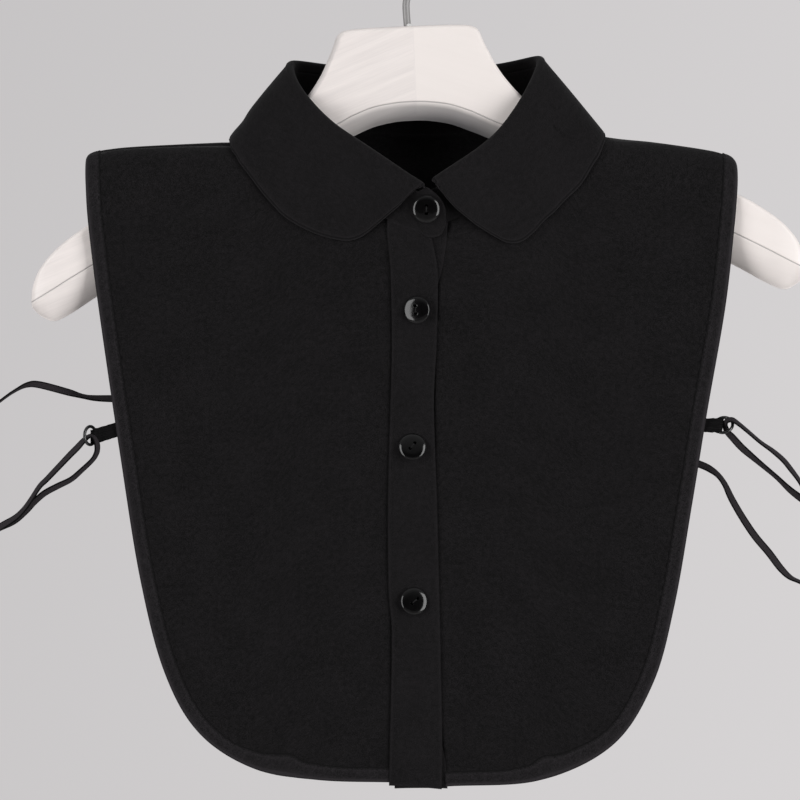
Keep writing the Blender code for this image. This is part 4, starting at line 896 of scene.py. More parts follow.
def add_fall():
    """The fall: up inside the fold, over the roll, and down to its rolled outer edge."""
    last = len(COLLAR_FOLD) - 1
    ends = (0.0, 0.006, 0.015, 0.03, 0.05, 0.07, 0.09, 0.11, 0.13, 0.155, 0.18, 0.21, 0.25, 0.3)
    ends = np.array(ends)
    u = np.concatenate([ends, np.arange(0.4, last - 0.35, 0.1), last - ends[::-1]])
    crest, up, outward, inward, leg, _, edge = collar_sections(u)
    run = run_along(crest)
    from_end = np.minimum(run, run[-1] - run)[:, None]
    near_end = np.clip(1 - from_end / THROAT_CORNER, 0.0, 1.0)
    r = ROLL_RADIUS * (1 - 0.6 * near_end)
    crest = crest + up * (ROLL_RADIUS - r - 0.9 * (1 - np.sqrt(1 - near_end**2)))
    leg = leg * (1 - 0.95 * np.clip(1.3 - from_end / 9.0, 0.0, 1.0))
    inside_top, outside_top = crest - outward * r, crest + outward * r
    columns = [inside_top + inward * leg * t for t in (1.0, 0.985, 0.94, 0.85, 0.6, 0.3)]
    for a in np.linspace(0.0, math.pi, 11):
        columns.append(crest + (up * math.sin(a) - outward * math.cos(a)) * r)
    over = edge - outside_top
    length = np.linalg.norm(over, axis=1)
    # it lies flatter over both shoulders
    bow = np.minimum(length * 0.05, FALL_BOW) * (1 - 0.9 * hump(u, 15.5, 2.2))
    bow = bow * (1 - 0.35 * hump(u, 7.5, 2.0))
    shares = [t * (1 - RIM_STEPS[0] / length) for t in np.linspace(0.0, 1.0, 27)[1:-1]]
    shares += [1 - step / length for step in RIM_STEPS]
    for share in shares:
        bowed = outward * (bow * np.sin(math.pi * share))[:, None]
        columns.append(outside_top + over * share[:, None] + bowed)
    middle = np.stack(columns, 1)
    far = far_across(middle)
    to_edge = far[:, -1:] - far
    hollow = humps(to_edge, FALL_HOLLOW)
    hollow = hollow * hump(u[:, None], 6.3, 1.2) * np.clip(to_edge / 2.0, 0, 1)
    middle = middle - outward[:, None] * hollow[..., None] * 0.9
    along = run_along(middle[:, 11])
    to_end = np.minimum(*(np.linalg.norm(middle - middle[k], axis=2) for k in (0, -1)))
    rim = np.minimum(to_edge, to_end)
    half = folded(np.minimum(rim, far), COLLAR_HALF)
    half = half - RIM_GROOVE_DEPTH * hump(to_edge, RIM_GROOVE, 0.35) * (rim > 0.3)
    flat = np.stack([np.broadcast_to(along[:, None], far.shape), far], -1)
    # the painted highlights and shade along its rim are a little stronger towards its two points
    points = hump(u, 1.2, 1.3) + hump(u, 20.8, 1.3)
    painted_light = humps(rim, FALL_PAINTED_LIGHT) * (0.75 + 0.25 * points)[:, None]
    piece = free_wall("collar_fall", middle, half, flat, pressed_crepe, painted_light)
    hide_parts("collar_fall")
    return piece


def add_stand():
    """The stand, with its round right end over the left one."""
    last = (len(COLLAR_FOLD) - 1) * 3
    i = np.arange(last + 1)
    crest, _, outward, inward, leg, seam, _ = collar_sections(i / 3)
    throat = np.clip(1 - np.minimum(i, last - i) / THROAT_SECTIONS, 0.0, None)[:, None]
    over = np.where((i < last / 2)[:, None], LAP_RIGHT, LAP_LEFT)
    drop = leg - 0.5 + 0.5 * throat
    top = crest - outward * (ROLL_RADIUS - over[:, :1] * throat) + inward * drop
    along = unit(np.vstack([seam[1:2] - seam[:1], seam[2:] - seam[:-2], seam[-1:] - seam[-2:-1]]))
    rise = unit(-inward + along * (along * inward).sum(1, keepdims=True))
    bottom = seam + rise * STAND_LIFT + outward * (over[:, 1:] * throat)
    right, left = (
        np.array(rows) + [CENTRE_FRONT_X, 0, 0, 0, 0] for rows in (STAND_RIGHT_END, STAND_LEFT_END)
    )
    top = np.vstack([right[:, [0, 3, 1]], top[1:-1], left[:, [0, 3, 1]]])
    bottom = np.vstack([right[:, [0, 4, 2]], bottom[1:-1], left[:, [0, 4, 2]]])
    rows = len(top) - 1
    close = np.array([0.0, 0.04, 0.15, 0.35, 0.6])
    u = np.concatenate([close, np.arange(0.85, rows - 0.8, 0.25), rows - close[::-1]])
    top, bottom = spline_at(top, u), spline_at(bottom, u)
    height = np.linalg.norm(bottom - top, axis=1)
    close = STAND_STEPS[-1]
    shares = [step / height for step in STAND_STEPS]
    for t in np.linspace(0.0, 1.0, 13)[1:-1]:
        shares.append((close + t * (height - 2 * close)) / height)
    shares += [1 - step / height for step in reversed(STAND_STEPS)]
    middle = np.stack([top + (bottom - top) * share[:, None] for share in shares], 1)
    far = far_across(middle)
    along = run_along(bottom)
    to_bottom = far[:, -1:] - far
    to_end = np.minimum(along, along[-1] - along)[:, None]
    to_fold = np.minimum(np.minimum(far, to_bottom), to_end)
    beat = np.sin(2 * math.pi * along / STITCH_PITCH)[:, None]
    ripple = STAND_PUCKER * beat * hump(to_bottom, 1.8, 1.4)
    half = folded(to_fold, STAND_HALF) + ripple * (to_end > 1.0)
    flat = np.stack([np.broadcast_to(along[:, None], far.shape), far], -1)
    # painted light and shade: streaks along the lower seam at its round right end, as small
    # wrinkles catch the light there
    streaks = np.sin(to_bottom * 3.1 + 0.8 * np.sin(along / 2.3)[:, None])
    streaks = streaks * hump(to_bottom, 2.8, 1.6) * hump(along[:, None], 0.0, 26.0)
    painted_light = humps(to_fold, STAND_PAINTED_LIGHT) + 0.3 * streaks
    piece = free_wall("collar_stand", middle, half, flat, pressed_crepe, painted_light)
    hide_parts("collar_stand")
    return piece


collar_fall = add_fall()
collar_stand = add_stand()

# ---------------------------------------------------------------------------------------------
# The buttons: polished black plastic, turned with a low dome that rounds over at its rim and
# pierced with two holes. Black thread crosses the bridge between the holes and holds each to the
# cloth.

BUTTON_PROFILE = [  # radius and height, from the middle of the face over the rim to the back
    (0.0, 2.5), (1.0, 2.489), (2.0, 2.456), (3.0, 2.4), (4.0, 2.325), (4.6, 2.257), (5.2, 2.15),
    (5.6, 2.05), (5.95, 1.935), (6.25, 1.81), (6.5, 1.68), (6.72, 1.54), (6.88, 1.38), (7.0, 1.16),
    (7.05, 0.9), (7.0, 0.55), (6.85, 0.3), (6.5, 0.08), (6.0, 0.0), (0.0, 0.0),
]  # fmt: skip
HOLE_RADIUS = 0.85
HOLE_SPACING = 3.7
BUTTON_THICKNESS = BUTTON_PROFILE[0][1]
BUTTON_RIM = 6.8  # the radius from which it is duller
STRANDS = [(-0.28, 2.72), (0.0, 2.82), (0.28, 2.72)]  # each strand's offset and its top's height
BUTTONS = [  # node, the way it faces, and its turn about that in degrees
    ("button_1", (0.02, -1.0, -0.1), 0.0),
    ("button_2", (-0.29, -1.0, 0.0), 4.0),
    ("button_3", (0.02, -1.0, 0.3), -40.0),
    ("button_4", (0.17, -1.0, 0.13), -50.0),
]


def button_gloss_finish():
    """Polished black plastic with a few fine wear marks, duller where its "edge" value is 1."""
    material, paint, shader = new_finish("black_button", Specular_IOR_Level=0.5)
    place = paint.place()
    marks = paint.noise(paint.stretched(place, (900.0, 900.0, 240.0)), 1.0, 4.0)
    cloud = paint.noise(place, 380.0)
    colour = paint.between(cloud, (0.0012, 0.0011, 0.0012), (0.0032, 0.003, 0.0032))
    rough = marks * 0.12 + 0.06 + paint.marked("edge") * 0.5
    finish_with(paint, shader, colour, rough, cloud, 0.00002)
    return material


def deselect_all():
    for selected in bpy.context.selected_objects:
        selected.select_set(False)


def select_only(piece):
    deselect_all()
    piece.select_set(True)
    bpy.context.view_layer.objects.active = piece


def settle(piece):
    """Puts a finished piece's place in its mesh, and its object at the origin."""
    piece.data.transform(piece.matrix_world)
    piece.matrix_world = Matrix.Identity(4)


def ease_edges(piece, width, angle):
    """Rounds over the edges that are sharper than an angle in degrees."""
    select_only(piece)
    eased = piece.modifiers.new("eased", "BEVEL")
    eased.width = width * MM
    eased.segments = 3
    eased.limit_method = "ANGLE"
    eased.angle_limit = math.radians(angle)
    bpy.ops.object.modifier_apply(modifier="eased")


def dress(mesh, material, angle):
    """Gives a mesh its one material, and smooth shading up to an angle in degrees."""
    mesh.materials.clear()
    mesh.materials.append(material)
    mesh.shade_smooth()
    mesh.set_sharp_from_angle(angle=math.radians(angle))


def face_outwards(mesh):
    """Turns a closed mesh's faces outwards, with its doubled points joined."""
    work = bmesh.new()
    work.from_mesh(mesh)
    bmesh.ops.remove_doubles(work, verts=work.verts, dist=1e-7)
    bmesh.ops.recalc_face_normals(work, faces=work.faces)
    work.to_mesh(mesh)
    work.free()


def button_blank():
    """The button turned on a lathe, with its holes drilled and their edges eased."""
    rows = [(r * MM, 0.0, h * MM) for r, h in BUTTON_PROFILE]
    mesh = bpy.data.meshes.new("button_blank")
    mesh.from_pydata(rows, [(k, k + 1) for k in range(len(rows) - 1)], [])
    blank = new_object("button_blank", mesh)
    select_only(blank)
    turned = blank.modifiers.new("turned", "SCREW")
    turned.axis = "Z"
    turned.steps = turned.render_steps = 72
    turned.use_merge_vertices = True
    turned.merge_threshold = 1e-6
    bpy.ops.object.modifier_apply(modifier="turned")
    bpy.ops.object.mode_set(mode="EDIT")
    bpy.ops.mesh.select_all(action="SELECT")
    bpy.ops.mesh.remove_doubles(threshold=1e-6)
    bpy.ops.mesh.normals_make_consistent(inside=False)
    bpy.ops.object.mode_set(mode="OBJECT")
    for sign in (-1, 1):
        deselect_all()
        bpy.ops.mesh.primitive_cylinder_add(
            vertices=32,
            radius=HOLE_RADIUS * MM,
            depth=8 * MM,
            location=(0.0, sign * HOLE_SPACING / 2 * MM, 0.0),
        )
        drill = bpy.context.object
        bpy.context.view_layer.objects.active = blank
        hole = blank.modifiers.new("hole", "BOOLEAN")
        hole.operation = "DIFFERENCE"
        hole.solver = "EXACT"
        hole.object = drill
        bpy.ops.object.modifier_apply(modifier="hole")
        bpy.data.objects.remove(drill, do_unlink=True)
    ease_edges(blank, 0.14, 50)
    edge = blank.data.attributes.new("edge", "FLOAT", "POINT")
    away = [math.hypot(vert.co.x, vert.co.y) / MM for vert in blank.data.vertices]
    edge.data.foreach_set("value", [min(max((r - BUTTON_RIM) / 0.2, 0.0), 1.0) for r in away])
    dress(blank.data, button_gloss_finish(), 40)
    return blank


def tube(name, line, radius, roundness, material):
    """A round tube along points in metres, with caps."""
    curve = bpy.data.curves.new(name, "CURVE")
    curve.dimensions = "3D"
    curve.bevel_depth = radius
    curve.bevel_resolution = roundness
    curve.use_fill_caps = True
    row = curve.splines.new("POLY")
    row.points.add(len(line) - 1)
    row.use_smooth = True
    for point, place in zip(row.points, line):
        point.co = (*place, 1.0)
    shape = new_object(name, curve)
    mesh = bpy.data.meshes.new_from_object(shape)
    bpy.data.objects.remove(shape, do_unlink=True)
    face_outwards(mesh)
    mesh.name = name
    dress(mesh, material, 60)
    return new_object(name, mesh)


def joined(name, pieces):
    """Several pieces made one mesh."""
    select_only(pieces[0])
    for piece in pieces:
        piece.select_set(True)
    bpy.ops.object.join()
    whole = bpy.context.object
    whole.name = whole.data.name = name
    return whole


blank = button_blank()
for node, facing, turn in BUTTONS:
    low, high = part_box(node)
    facing = Vector(facing).normalized()
    turned = facing.to_track_quat("Z", "Y").to_matrix().to_4x4()
    turned = turned @ Matrix.Rotation(math.radians(turn), 4, "Z")
    place = Matrix.Translation((low + high) / 2) @ turned
    place = place @ Matrix.Translation((0, 0, -BUTTON_THICKNESS / 2 * MM))
    button = new_object(f"{node}_turned", blank.data.copy())
    button.matrix_world = place
    settle(button)
    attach(button, "root")
    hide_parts(node)
    strands = []
    for k, (offset, top) in enumerate(STRANDS):
        bridge = [(offset, -1.55, 0.0), (offset, -1.45, 1.7), (offset * 0.8, -1.12, 2.5)]
        bridge += [(offset * 0.7, 0.0, top)]
        bridge += [(x, -y, z) for x, y, z in bridge[2::-1]]
        line = [place @ Vector(p * MM) for p in spline(bridge, 8)]
        strands.append(tube(f"strand_{k}", line, THREAD_RADIUS * MM, 3, black_thread))
    thread = joined(f"thread_{node}", strands)
    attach(thread, "root")
bpy.data.objects.remove(blank, do_unlink=True)

# ---------------------------------------------------------------------------------------------
# At each side an enamelled wire ring hangs in a tab of folded cloth tape. The tab is sewn under
# the front's binding, goes out round the ring's wire and comes back, and is gathered where it
# turns.

STRAP_WIDE = 3.8
RINGS = [  # ring, tab, side, x, z, its turn to the front and its lean back in degrees
    ("ring_right", "tab_right", -1, -160.6, -271.4, 56.0, 0.0),
    ("ring_left", "tab_left", 1, 165.5, -266.0, 14.0, 34.0),
]
RING_RADIUS = 4.7  # at the middle of the wire
RING_WIRE = 0.82
RING_GAP = 0.3  # between the tab and the binding that it's sewn under
BINDING_HALF = 0.9  # half of the binding's thickness
TAB_WALL = 0.8
TAB_LONG = 16.0
TAB_GATHER = 0.2  # the height of each of its two sets of gathers
EYE_TURN = 0.62 * math.pi  # how far the eye goes round, each way from its outer side
RIB_PITCH = 0.62  # of the elastic's knit, across it
KNIT_PITCH = 0.5  # along it
TABS = {  # at the binding and at the ring: two heights, two shifts up; and the eye, long and wide
    "tab_right": (7.7, 7.8, 4.6, -0.4, 2.4, 1.1),
    "tab_left": (6.5, 7.4, -0.2, -0.1, 3.1, 1.1),
}


def elastic_finish(name, half, shine, dark, light):
    """Black knitted elastic: fine ribs along it, painted shade along its edges, and a dull sheen.
    """
    material, paint, shader = new_finish(
        name, Sheen_Weight=0.04, Sheen_Roughness=0.4, Specular_IOR_Level=shine
    )
    flat = paint.flat()
    x, y, _ = paint.parts(flat)
    ribs = paint.wave(x * (2 * math.pi / RIB_PITCH))
    knit = paint.wave(y * (2 * math.pi / KNIT_PITCH) + ribs * 2.0)
    soft = paint.noise(flat, 1.6, 3.0)
    cover = ribs * 0.45 + knit * 0.2 + soft * 0.35
    # painted shade: darker towards both edges of the band
    edge = (paint.maths("ABSOLUTE", x) - (half - 0.8)) * 2.2
    colour = paint.between(cover, dark, light)
    colour = paint.between(edge, colour, (0.0016, 0.0016, 0.0017))
    finish_with(paint, shader, colour, soft * 0.15 + 0.55, cover, 0.00012)
    return material


# Enamel with a soft gloss and a little wear.
black_enamel = mottled(
    "black_enamel", (900.0, 900.0, 900.0), 3.0, (0.003, 0.003, 0.0032), (0.009, 0.009, 0.0095),
    (0.2, 0.16), 0.00004, Specular_IOR_Level=0.4, Coat_Weight=0.8, Coat_Roughness=0.1,
)  # fmt: skip
black_elastic = elastic_finish(
    "black_elastic", STRAP_WIDE / 2, 0.05, (0.016, 0.014, 0.0155), (0.044, 0.0385, 0.0425)
)
black_tape = elastic_finish(
    "black_tape", 3.8, 0.07, (0.0008, 0.0007, 0.0008), (0.0085, 0.0078, 0.0084)
)


def add_ring(node, middle, away, up):
    """The ring on its middle, with the two directions of its face."""
    deselect_all()
    bpy.ops.mesh.primitive_torus_add(
        major_radius=RING_RADIUS * MM,
        minor_radius=RING_WIRE * MM,
        major_segments=96,
        minor_segments=20,
    )
    ring = bpy.context.object
    ring.name = ring.data.name = f"{node}_wire"
    # the wire's joint, a little thicker and inside the tab
    bpy.ops.object.mode_set(mode="EDIT")
    bpy.ops.mesh.select_all(action="DESELECT")
    work = bmesh.from_edit_mesh(ring.data)
    for vert in work.verts:
        vert.select_set(vert.co.x < 0 and abs(vert.co.y) < 0.35 * MM)
    work.select_flush_mode()
    bmesh.update_edit_mesh(ring.data)
    bpy.ops.transform.resize(value=(1.0, 1.0, 1.14))
    bpy.ops.object.mode_set(mode="OBJECT")
    rows = np.stack([away, up, np.cross(away, up), middle * MM], -1)
    ring.matrix_world = Matrix([*rows.tolist(), (0.0, 0.0, 0.0, 1.0)])
    settle(ring)
    face_outwards(ring.data)
    ring.data.materials.append(black_enamel)
    ring.data.shade_smooth()
    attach(ring, "root")
    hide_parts(node)


def add_tab(node, side, middle, away, facing, lean):
    """The tape: out from the binding, round the ring's wire in a gathered eye, and back."""
    sewn_tall, ring_tall, sewn_up, ring_up, long, wide = TABS[node]
    eye = middle - away * (RING_RADIUS - 0.6)
    sewn_y = (middle - away * RING_RADIUS)[1]
    out_x = eye[0] - side * TAB_LONG
    neck_x = eye[0] - side * (long + 1.2)
    half = TAB_WALL / 2
    front_back = (sewn_y + half, sewn_y - half)
    if facing[1] < 0:
        front_back = front_back[::-1]
    leg = [out_x + (neck_x - out_x) * t for t in (0.0, *np.linspace(0.06, 1, 22))]
    path = [(x, front_back[1]) for x in leg]
    for a in np.linspace(-EYE_TURN, EYE_TURN, 19):
        spot = eye + away * math.cos(a) * (long + half) + facing * math.sin(a) * (wide + half)
        path.append(tuple(spot[:2]))
    path += [(x, front_back[0]) for x in reversed(leg)]
    path = np.array(path)
    along = np.clip((path[:, 0] - out_x) / (eye[0] - out_x), 0.0, 1.1)
    near_ring = along**2
    over = edged(sewn_tall, 0.28) - 0.5
    tall = sewn_tall + (ring_tall - sewn_tall) * near_ring
    tall = tall + 0.4 * np.sin((path[:, 0] - out_x) * 1.9) * near_ring
    height = tall[:, None] * over[None]
    gather = np.sin(height * 2 * math.pi / 1.3 + path[:, :1] * 0.5)
    gather = (gather + np.sin(height * 2 * math.pi / 2.7 + 1.0)) * TAB_GATHER * near_ring[:, None]
    follow = height * near_ring[:, None] * math.tan(lean)
    points = np.stack(
        [
            path[:, :1] - facing[0] * follow,
            path[:, 1:] + gather - facing[1] * follow,
            middle[2] + height + sewn_up + (ring_up - sewn_up) * along[:, None],
        ],
        -1,
    )
    run = run_along(path)
    to_side = np.minimum(over + 0.5, 0.5 - over)[None] * tall[:, None]
    to_end = np.minimum(run, run[-1] - run)[:, None]
    thick = folded(np.minimum(to_side, to_end), half - 0.06)
    flat = np.stack([height, np.broadcast_to(run[:, None], height.shape)], -1)
    tab = free_wall(node, points, thick, flat, black_tape)
    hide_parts(node)


for ring_node, tab_node, side, x, z, turn, lean in RINGS:
    turn, lean = math.radians(turn), math.radians(lean)
    away = np.array([side * math.cos(turn), -math.sin(turn), 0.0])
    facing = np.array([away[1], -away[0], 0.0])
    up = np.array([0.0, 0.0, math.cos(lean)]) - facing * math.sin(lean)
    sewn_x = x - side * (TAB_LONG - 6.0) - CENTRE_FRONT_X
    level = -(BINDING_HALF + RING_GAP + TAB_WALL)
    sewn_y = lay(sewn_x, down_to(sewn_x, z), level)[1] / MM
    middle = np.array([x, sewn_y + away[1] * RING_RADIUS, z])
    add_ring(ring_node, middle, away, up)
    add_tab(tab_node, side, middle, away, facing, lean)

# ---------------------------------------------------------------------------------------------
# The straps: narrow flat elastic, sewn inside the back's binding at each side. Each goes out,
# turns round through a slider, in through its ring and back to the slider's middle bar.

STRAP_THICK = 0.9
SLIDERS = {  # a slider's middle, and the way that the strap runs through it
    "slider_right": ((-214.5, -11.0, -323.0), (-0.85, 0.15, -0.53)),
    "slider_left": ((217.0, -13.8, -315.3), (0.64, 0.16, -0.75)),
}
SLIDER_BARS = 4.15  # from the middle bar to the outer ones


def on_slider(name, along, out):
    """A place by a slider: along the strap's way, and out from its plate to the front."""
    middle, way = SLIDERS[name]
    way = Vector(way).normalized()
    across = way.cross(Vector((0, 1, 0))).normalized()
    return tuple(Vector(middle) + way * along + way.cross(across) * out)


# Each point of a strap's route has the direction of its width there.
RIGHT_STRAP = [
    ((-138.0, 9.9, -252.4), (0, 0, 1)), ((-150.3, 9.5, -252.4), (0, 0.2, 1)),
    ((-159.9, 9.0, -252.1), (0, 0.8, 1)), ((-166.0, 8.4, -251.2), (0, 1.3, 1)),
    ((-173.8, 7.4, -249.0), (0, 0.3, 1)), ((-188.2, 5.4, -245.2), (0, -0.2, 1)),
    ((-194.4, 4.5, -245.2), (0.2, -0.9, 1)), ((-200.4, 3.6, -248.0), (0.5, -1.7, 1)),
    ((-207.3, 2.6, -252.8), (0.6, -1.9, 1)), ((-215.5, 1.3, -260.0), (0.8, -0.9, 0.8)),
    ((-227.0, -1.2, -282.0), (1, 0.1, -0.2)), ((-229.0, -2.8, -300.0), (1, 0.4, 0)),
    ((-228.6, -4.8, -315.0), (1, 0.3, 0.1)), ((-226.2, -6.8, -325.2), (0.9, 0.2, 0.6)),
    (on_slider("slider_right", 9.0, -2.0), (0.53, 0, -0.85)),
    (on_slider("slider_right", SLIDER_BARS, -1.15), (0.53, 0, -0.85)),
    (on_slider("slider_right", 0.0, 1.15), (0.53, 0, -0.85)),
    (on_slider("slider_right", -SLIDER_BARS, -1.15), (0.53, 0, -0.85)),
    ((-205.4, -11.4, -317.4), (0.6, -0.3, -0.8)), ((-199.0, -11.0, -313.4), (0.7, -0.8, -0.7)),
    ((-194.4, -11.2, -308.7), (0.7, -1.0, -0.5)), ((-190.8, -11.7, -303.6), (0.7, -1.0, -0.4)),
    ((-186.6, -12.4, -297.4), (0.6, -0.8, -0.4)), ((-182.5, -13.4, -293.4), (0.5, -0.7, -0.6)),
    ((-171.4, -14.6, -281.8), (0.5, -0.5, -0.6)), ((-167.0, -15.1, -277.4), (0.5, -0.5, -0.7)),
    ((-164.2, -15.2, -274.3), (0.6, -0.8, -0.7)), ((-161.9, -14.7, -272.2), (0.3, -1, -0.6)),
    ((-160.1, -14.1, -271.6), (-0.1, -1.2, -0.6)), ((-158.4, -13.4, -272.8), (-0.7, -1.2, -0.4)),
    ((-157.3, -12.6, -275.4), (-0.9, -1, -0.1)), ((-157.1, -11.6, -278.2), (-1, -1.1, 0)),
    ((-157.8, -10.8, -281.0), (-1, -1.2, 0.2)), ((-160.0, -10.0, -284.3), (-0.8, -1.5, 0.6)),
    ((-165.4, -9.5, -289.4), (-0.6, -1.2, 0.7)), ((-170.8, -9.3, -294.0), (-0.5, -0.9, 0.7)),
    ((-178.0, -9.1, -297.6), (-0.4, -0.7, 0.8)), ((-184.6, -8.8, -301.2), (-0.4, -0.6, 0.7)),
    ((-190.0, -8.4, -305.8), (-0.5, -0.6, 0.7)), ((-194.4, -8.2, -310.3), (-0.6, -0.3, 0.7)),
    ((-200.4, -9.2, -315.4), (-0.55, 0, 0.84)),
    (on_slider("slider_right", -7.5, -2.4), (-0.53, 0, 0.85)),
    (on_slider("slider_right", -3.8, -2.2), (-0.53, 0, 0.85)),
    (on_slider("slider_right", 0.3, -1.15), (-0.53, 0, 0.85)),
]  # fmt: skip
LEFT_STRAP = [
    ((143.0, 8.9, -282.4), (0, 0.1, 1)), ((155.3, 8.7, -286.8), (0.3, 0.1, 1)),
    ((160.2, 8.4, -289.2), (0.4, 0.4, 0.9)), ((164.3, 8.0, -292.4), (0.7, 0.9, 0.7)),
    ((167.7, 7.4, -297.2), (0.85, 0.8, 0.5)), ((171.0, 6.8, -304.3), (0.9, 0.4, 0.45)),
    ((176.4, 5.9, -313.8), (0.85, 0.2, 0.5)), ((182.9, 4.8, -323.6), (0.8, 0, 0.6)),
    ((190.2, 3.7, -332.4), (0.75, 0, 0.65)), ((195.8, 2.8, -339.9), (0.7, 0.3, 0.7)),
    ((200.4, 1.8, -344.6), (0.5, 0.9, 0.8)), ((204.9, 1.0, -346.9), (0.3, 2.0, 1)),
    ((212.5, -0.6, -349.8), (0.1, 1.4, 1)), ((220.5, -2.4, -350.8), (-0.3, 0.6, 1)),
    ((227.0, -4.2, -347.6), (-0.8, 0.2, 0.6)), ((229.6, -6.0, -339.5), (-1, 0.1, 0)),
    ((228.0, -9.0, -330.0), (-0.9, 0, -0.3)),
    (on_slider("slider_left", 9.0, -2.0), (-0.76, 0, -0.65)),
    (on_slider("slider_left", SLIDER_BARS, -1.15), (-0.76, 0, -0.65)),
    (on_slider("slider_left", 0.0, 1.15), (-0.76, 0, -0.65)),
    (on_slider("slider_left", -SLIDER_BARS, -1.15), (-0.76, 0, -0.65)),
    ((209.6, -13.9, -303.6), (-0.76, -0.4, -0.65)), ((204.8, -13.5, -295.4), (-0.8, -1.2, -0.5)),
    ((200.1, -13.6, -289.0), (-0.7, -0.9, -0.5)), ((196.0, -13.9, -284.0), (-0.6, -0.8, -0.5)),
    ((190.4, -14.3, -279.2), (-0.5, -0.9, -0.5)), ((184.2, -14.6, -274.8), (-0.5, -1.7, -0.8)),
    ((177.4, -14.6, -269.0), (-0.4, -1.6, -0.9)), ((173.0, -14.2, -265.4), (-0.2, -1.4, -1)),
    ((169.8, -13.2, -263.4), (-0.1, -1.2, -1)), ((167.3, -11.2, -263.9), (0.4, -1.2, -0.6)),
    ((166.5, -9.6, -266.4), (0.9, -1.1, 0)), ((167.6, -10.2, -269.6), (0.8, -0.8, 0.5)),
    ((170.2, -9.8, -272.4), (0.7, -0.4, 0.7)), ((175.0, -9.2, -277.6), (0.7, -0.3, 0.7)),
    ((181.0, -8.6, -282.8), (0.6, -0.7, 0.6)), ((187.0, -8.4, -287.8), (0.6, -1.2, 0.7)),
    ((193.4, -8.4, -293.2), (0.7, -1.5, 0.7)), ((200.6, -9.0, -300.0), (0.7, -0.7, 0.7)),
    (on_slider("slider_left", -9.5, -4.0), (0.76, 0, 0.65)),
    (on_slider("slider_left", -4.2, -2.2), (0.76, 0, 0.65)),
    (on_slider("slider_left", 0.3, -1.15), (0.76, 0, 0.65)),
]  # fmt: skip


# Polished black plastic, moulded, with faint mould flow.
black_slider = mottled(
    "black_slider", (300.0, 300.0, 900.0), 3.0, (0.004, 0.004, 0.0042), (0.009, 0.0088, 0.009),
    (0.18, 0.12), 0.00003, Specular_IOR_Level=0.5,
)  # fmt: skip


def add_slider(node):
    """The moulded plate, with its two slots and its eased edges."""
    plate = new_object(f"{node}_moulded", bpy.data.objects[node].data.copy())
    select_only(plate)
    bpy.ops.object.mode_set(mode="EDIT")
    bpy.ops.mesh.select_all(action="SELECT")
    bpy.ops.mesh.remove_doubles(threshold=1e-6)
    bpy.ops.mesh.dissolve_limited(angle_limit=math.radians(1))
    bpy.ops.object.mode_set(mode="OBJECT")
    ease_edges(plate, 0.32, 50)
    dress(plate.data, black_slider, 40)
    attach(plate, "root")
    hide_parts(node)
    return plate


def add_strap(node, rows):
    """Flat elastic along its route, turned as its width's directions say."""
    u = np.linspace(0, len(rows) - 1, (len(rows) - 1) * 10 + 1)
    centre = spline_at([row[0] for row in rows], u)
    wide = spline_at([row[1] for row in rows], u)
    along = unit(np.gradient(centre, axis=0))
    wide = unit(wide - along * (along * wide).sum(1, keepdims=True))
    thick = np.cross(along, wide)
    run = run_along(centre)
    profile = []  # a flat band with rounded edges
    for a in np.linspace(0, 2 * math.pi, 21)[:-1]:
        across = math.copysign(abs(math.cos(a)) ** 0.45, math.cos(a)) * STRAP_WIDE / 2
        out = math.copysign(abs(math.sin(a)) ** 0.8, math.sin(a)) * STRAP_THICK / 2
        profile.append((across, out))
    profile = np.array(profile)
    ends = np.ones((len(u), 1, 1))
    ends[0] = ends[-1] = 0.55
    turned = wide[:, None] * profile[None, :, :1] + thick[:, None] * profile[None, :, 1:]
    rings = centre[:, None] + turned * ends
    count, n = rings.shape[:2]
    faces = []
    for i in range(count - 1):
        for j in range(n):
            a, b = i * n + j, i * n + (j + 1) % n
            faces.append((a, b, b + n, a + n))
    faces.append(tuple(range(n - 1, -1, -1)))
    faces.append(tuple((count - 1) * n + j for j in range(n)))
    mesh = bpy.data.meshes.new(f"{node}_elastic")
    mesh.from_pydata((rings.reshape(-1, 3) * MM).tolist(), [], faces)
    flat = np.stack([np.tile(profile[:, 0], count), np.repeat(run, n)], -1)
    layer = mesh.uv_layers.new(name="flat")
    corners = np.empty(len(mesh.loops), dtype=np.int64)
    mesh.loops.foreach_get("vertex_index", corners)
    layer.data.foreach_set("uv", flat[corners].ravel())
    face_outwards(mesh)
    dress(mesh, black_elastic, 70)
    strap = new_object(f"{node}_elastic", mesh)
    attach(strap, "root")
    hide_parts(node)
    tuple(centre[0] * MM)
    (centre * MM).tolist()


slider_right = add_slider("slider_right")
slider_left = add_slider("slider_left")
add_strap("strap_right", RIGHT_STRAP)
add_strap("strap_left", LEFT_STRAP)

# ---------------------------------------------------------------------------------------------
# The hanger's board: two arms of light wood, glued together at the neck with the grain along each,
# thinly whitewashed. Its arrises are rounded over, and a fine groove parts the face from the
# slanted lower face on both sides.

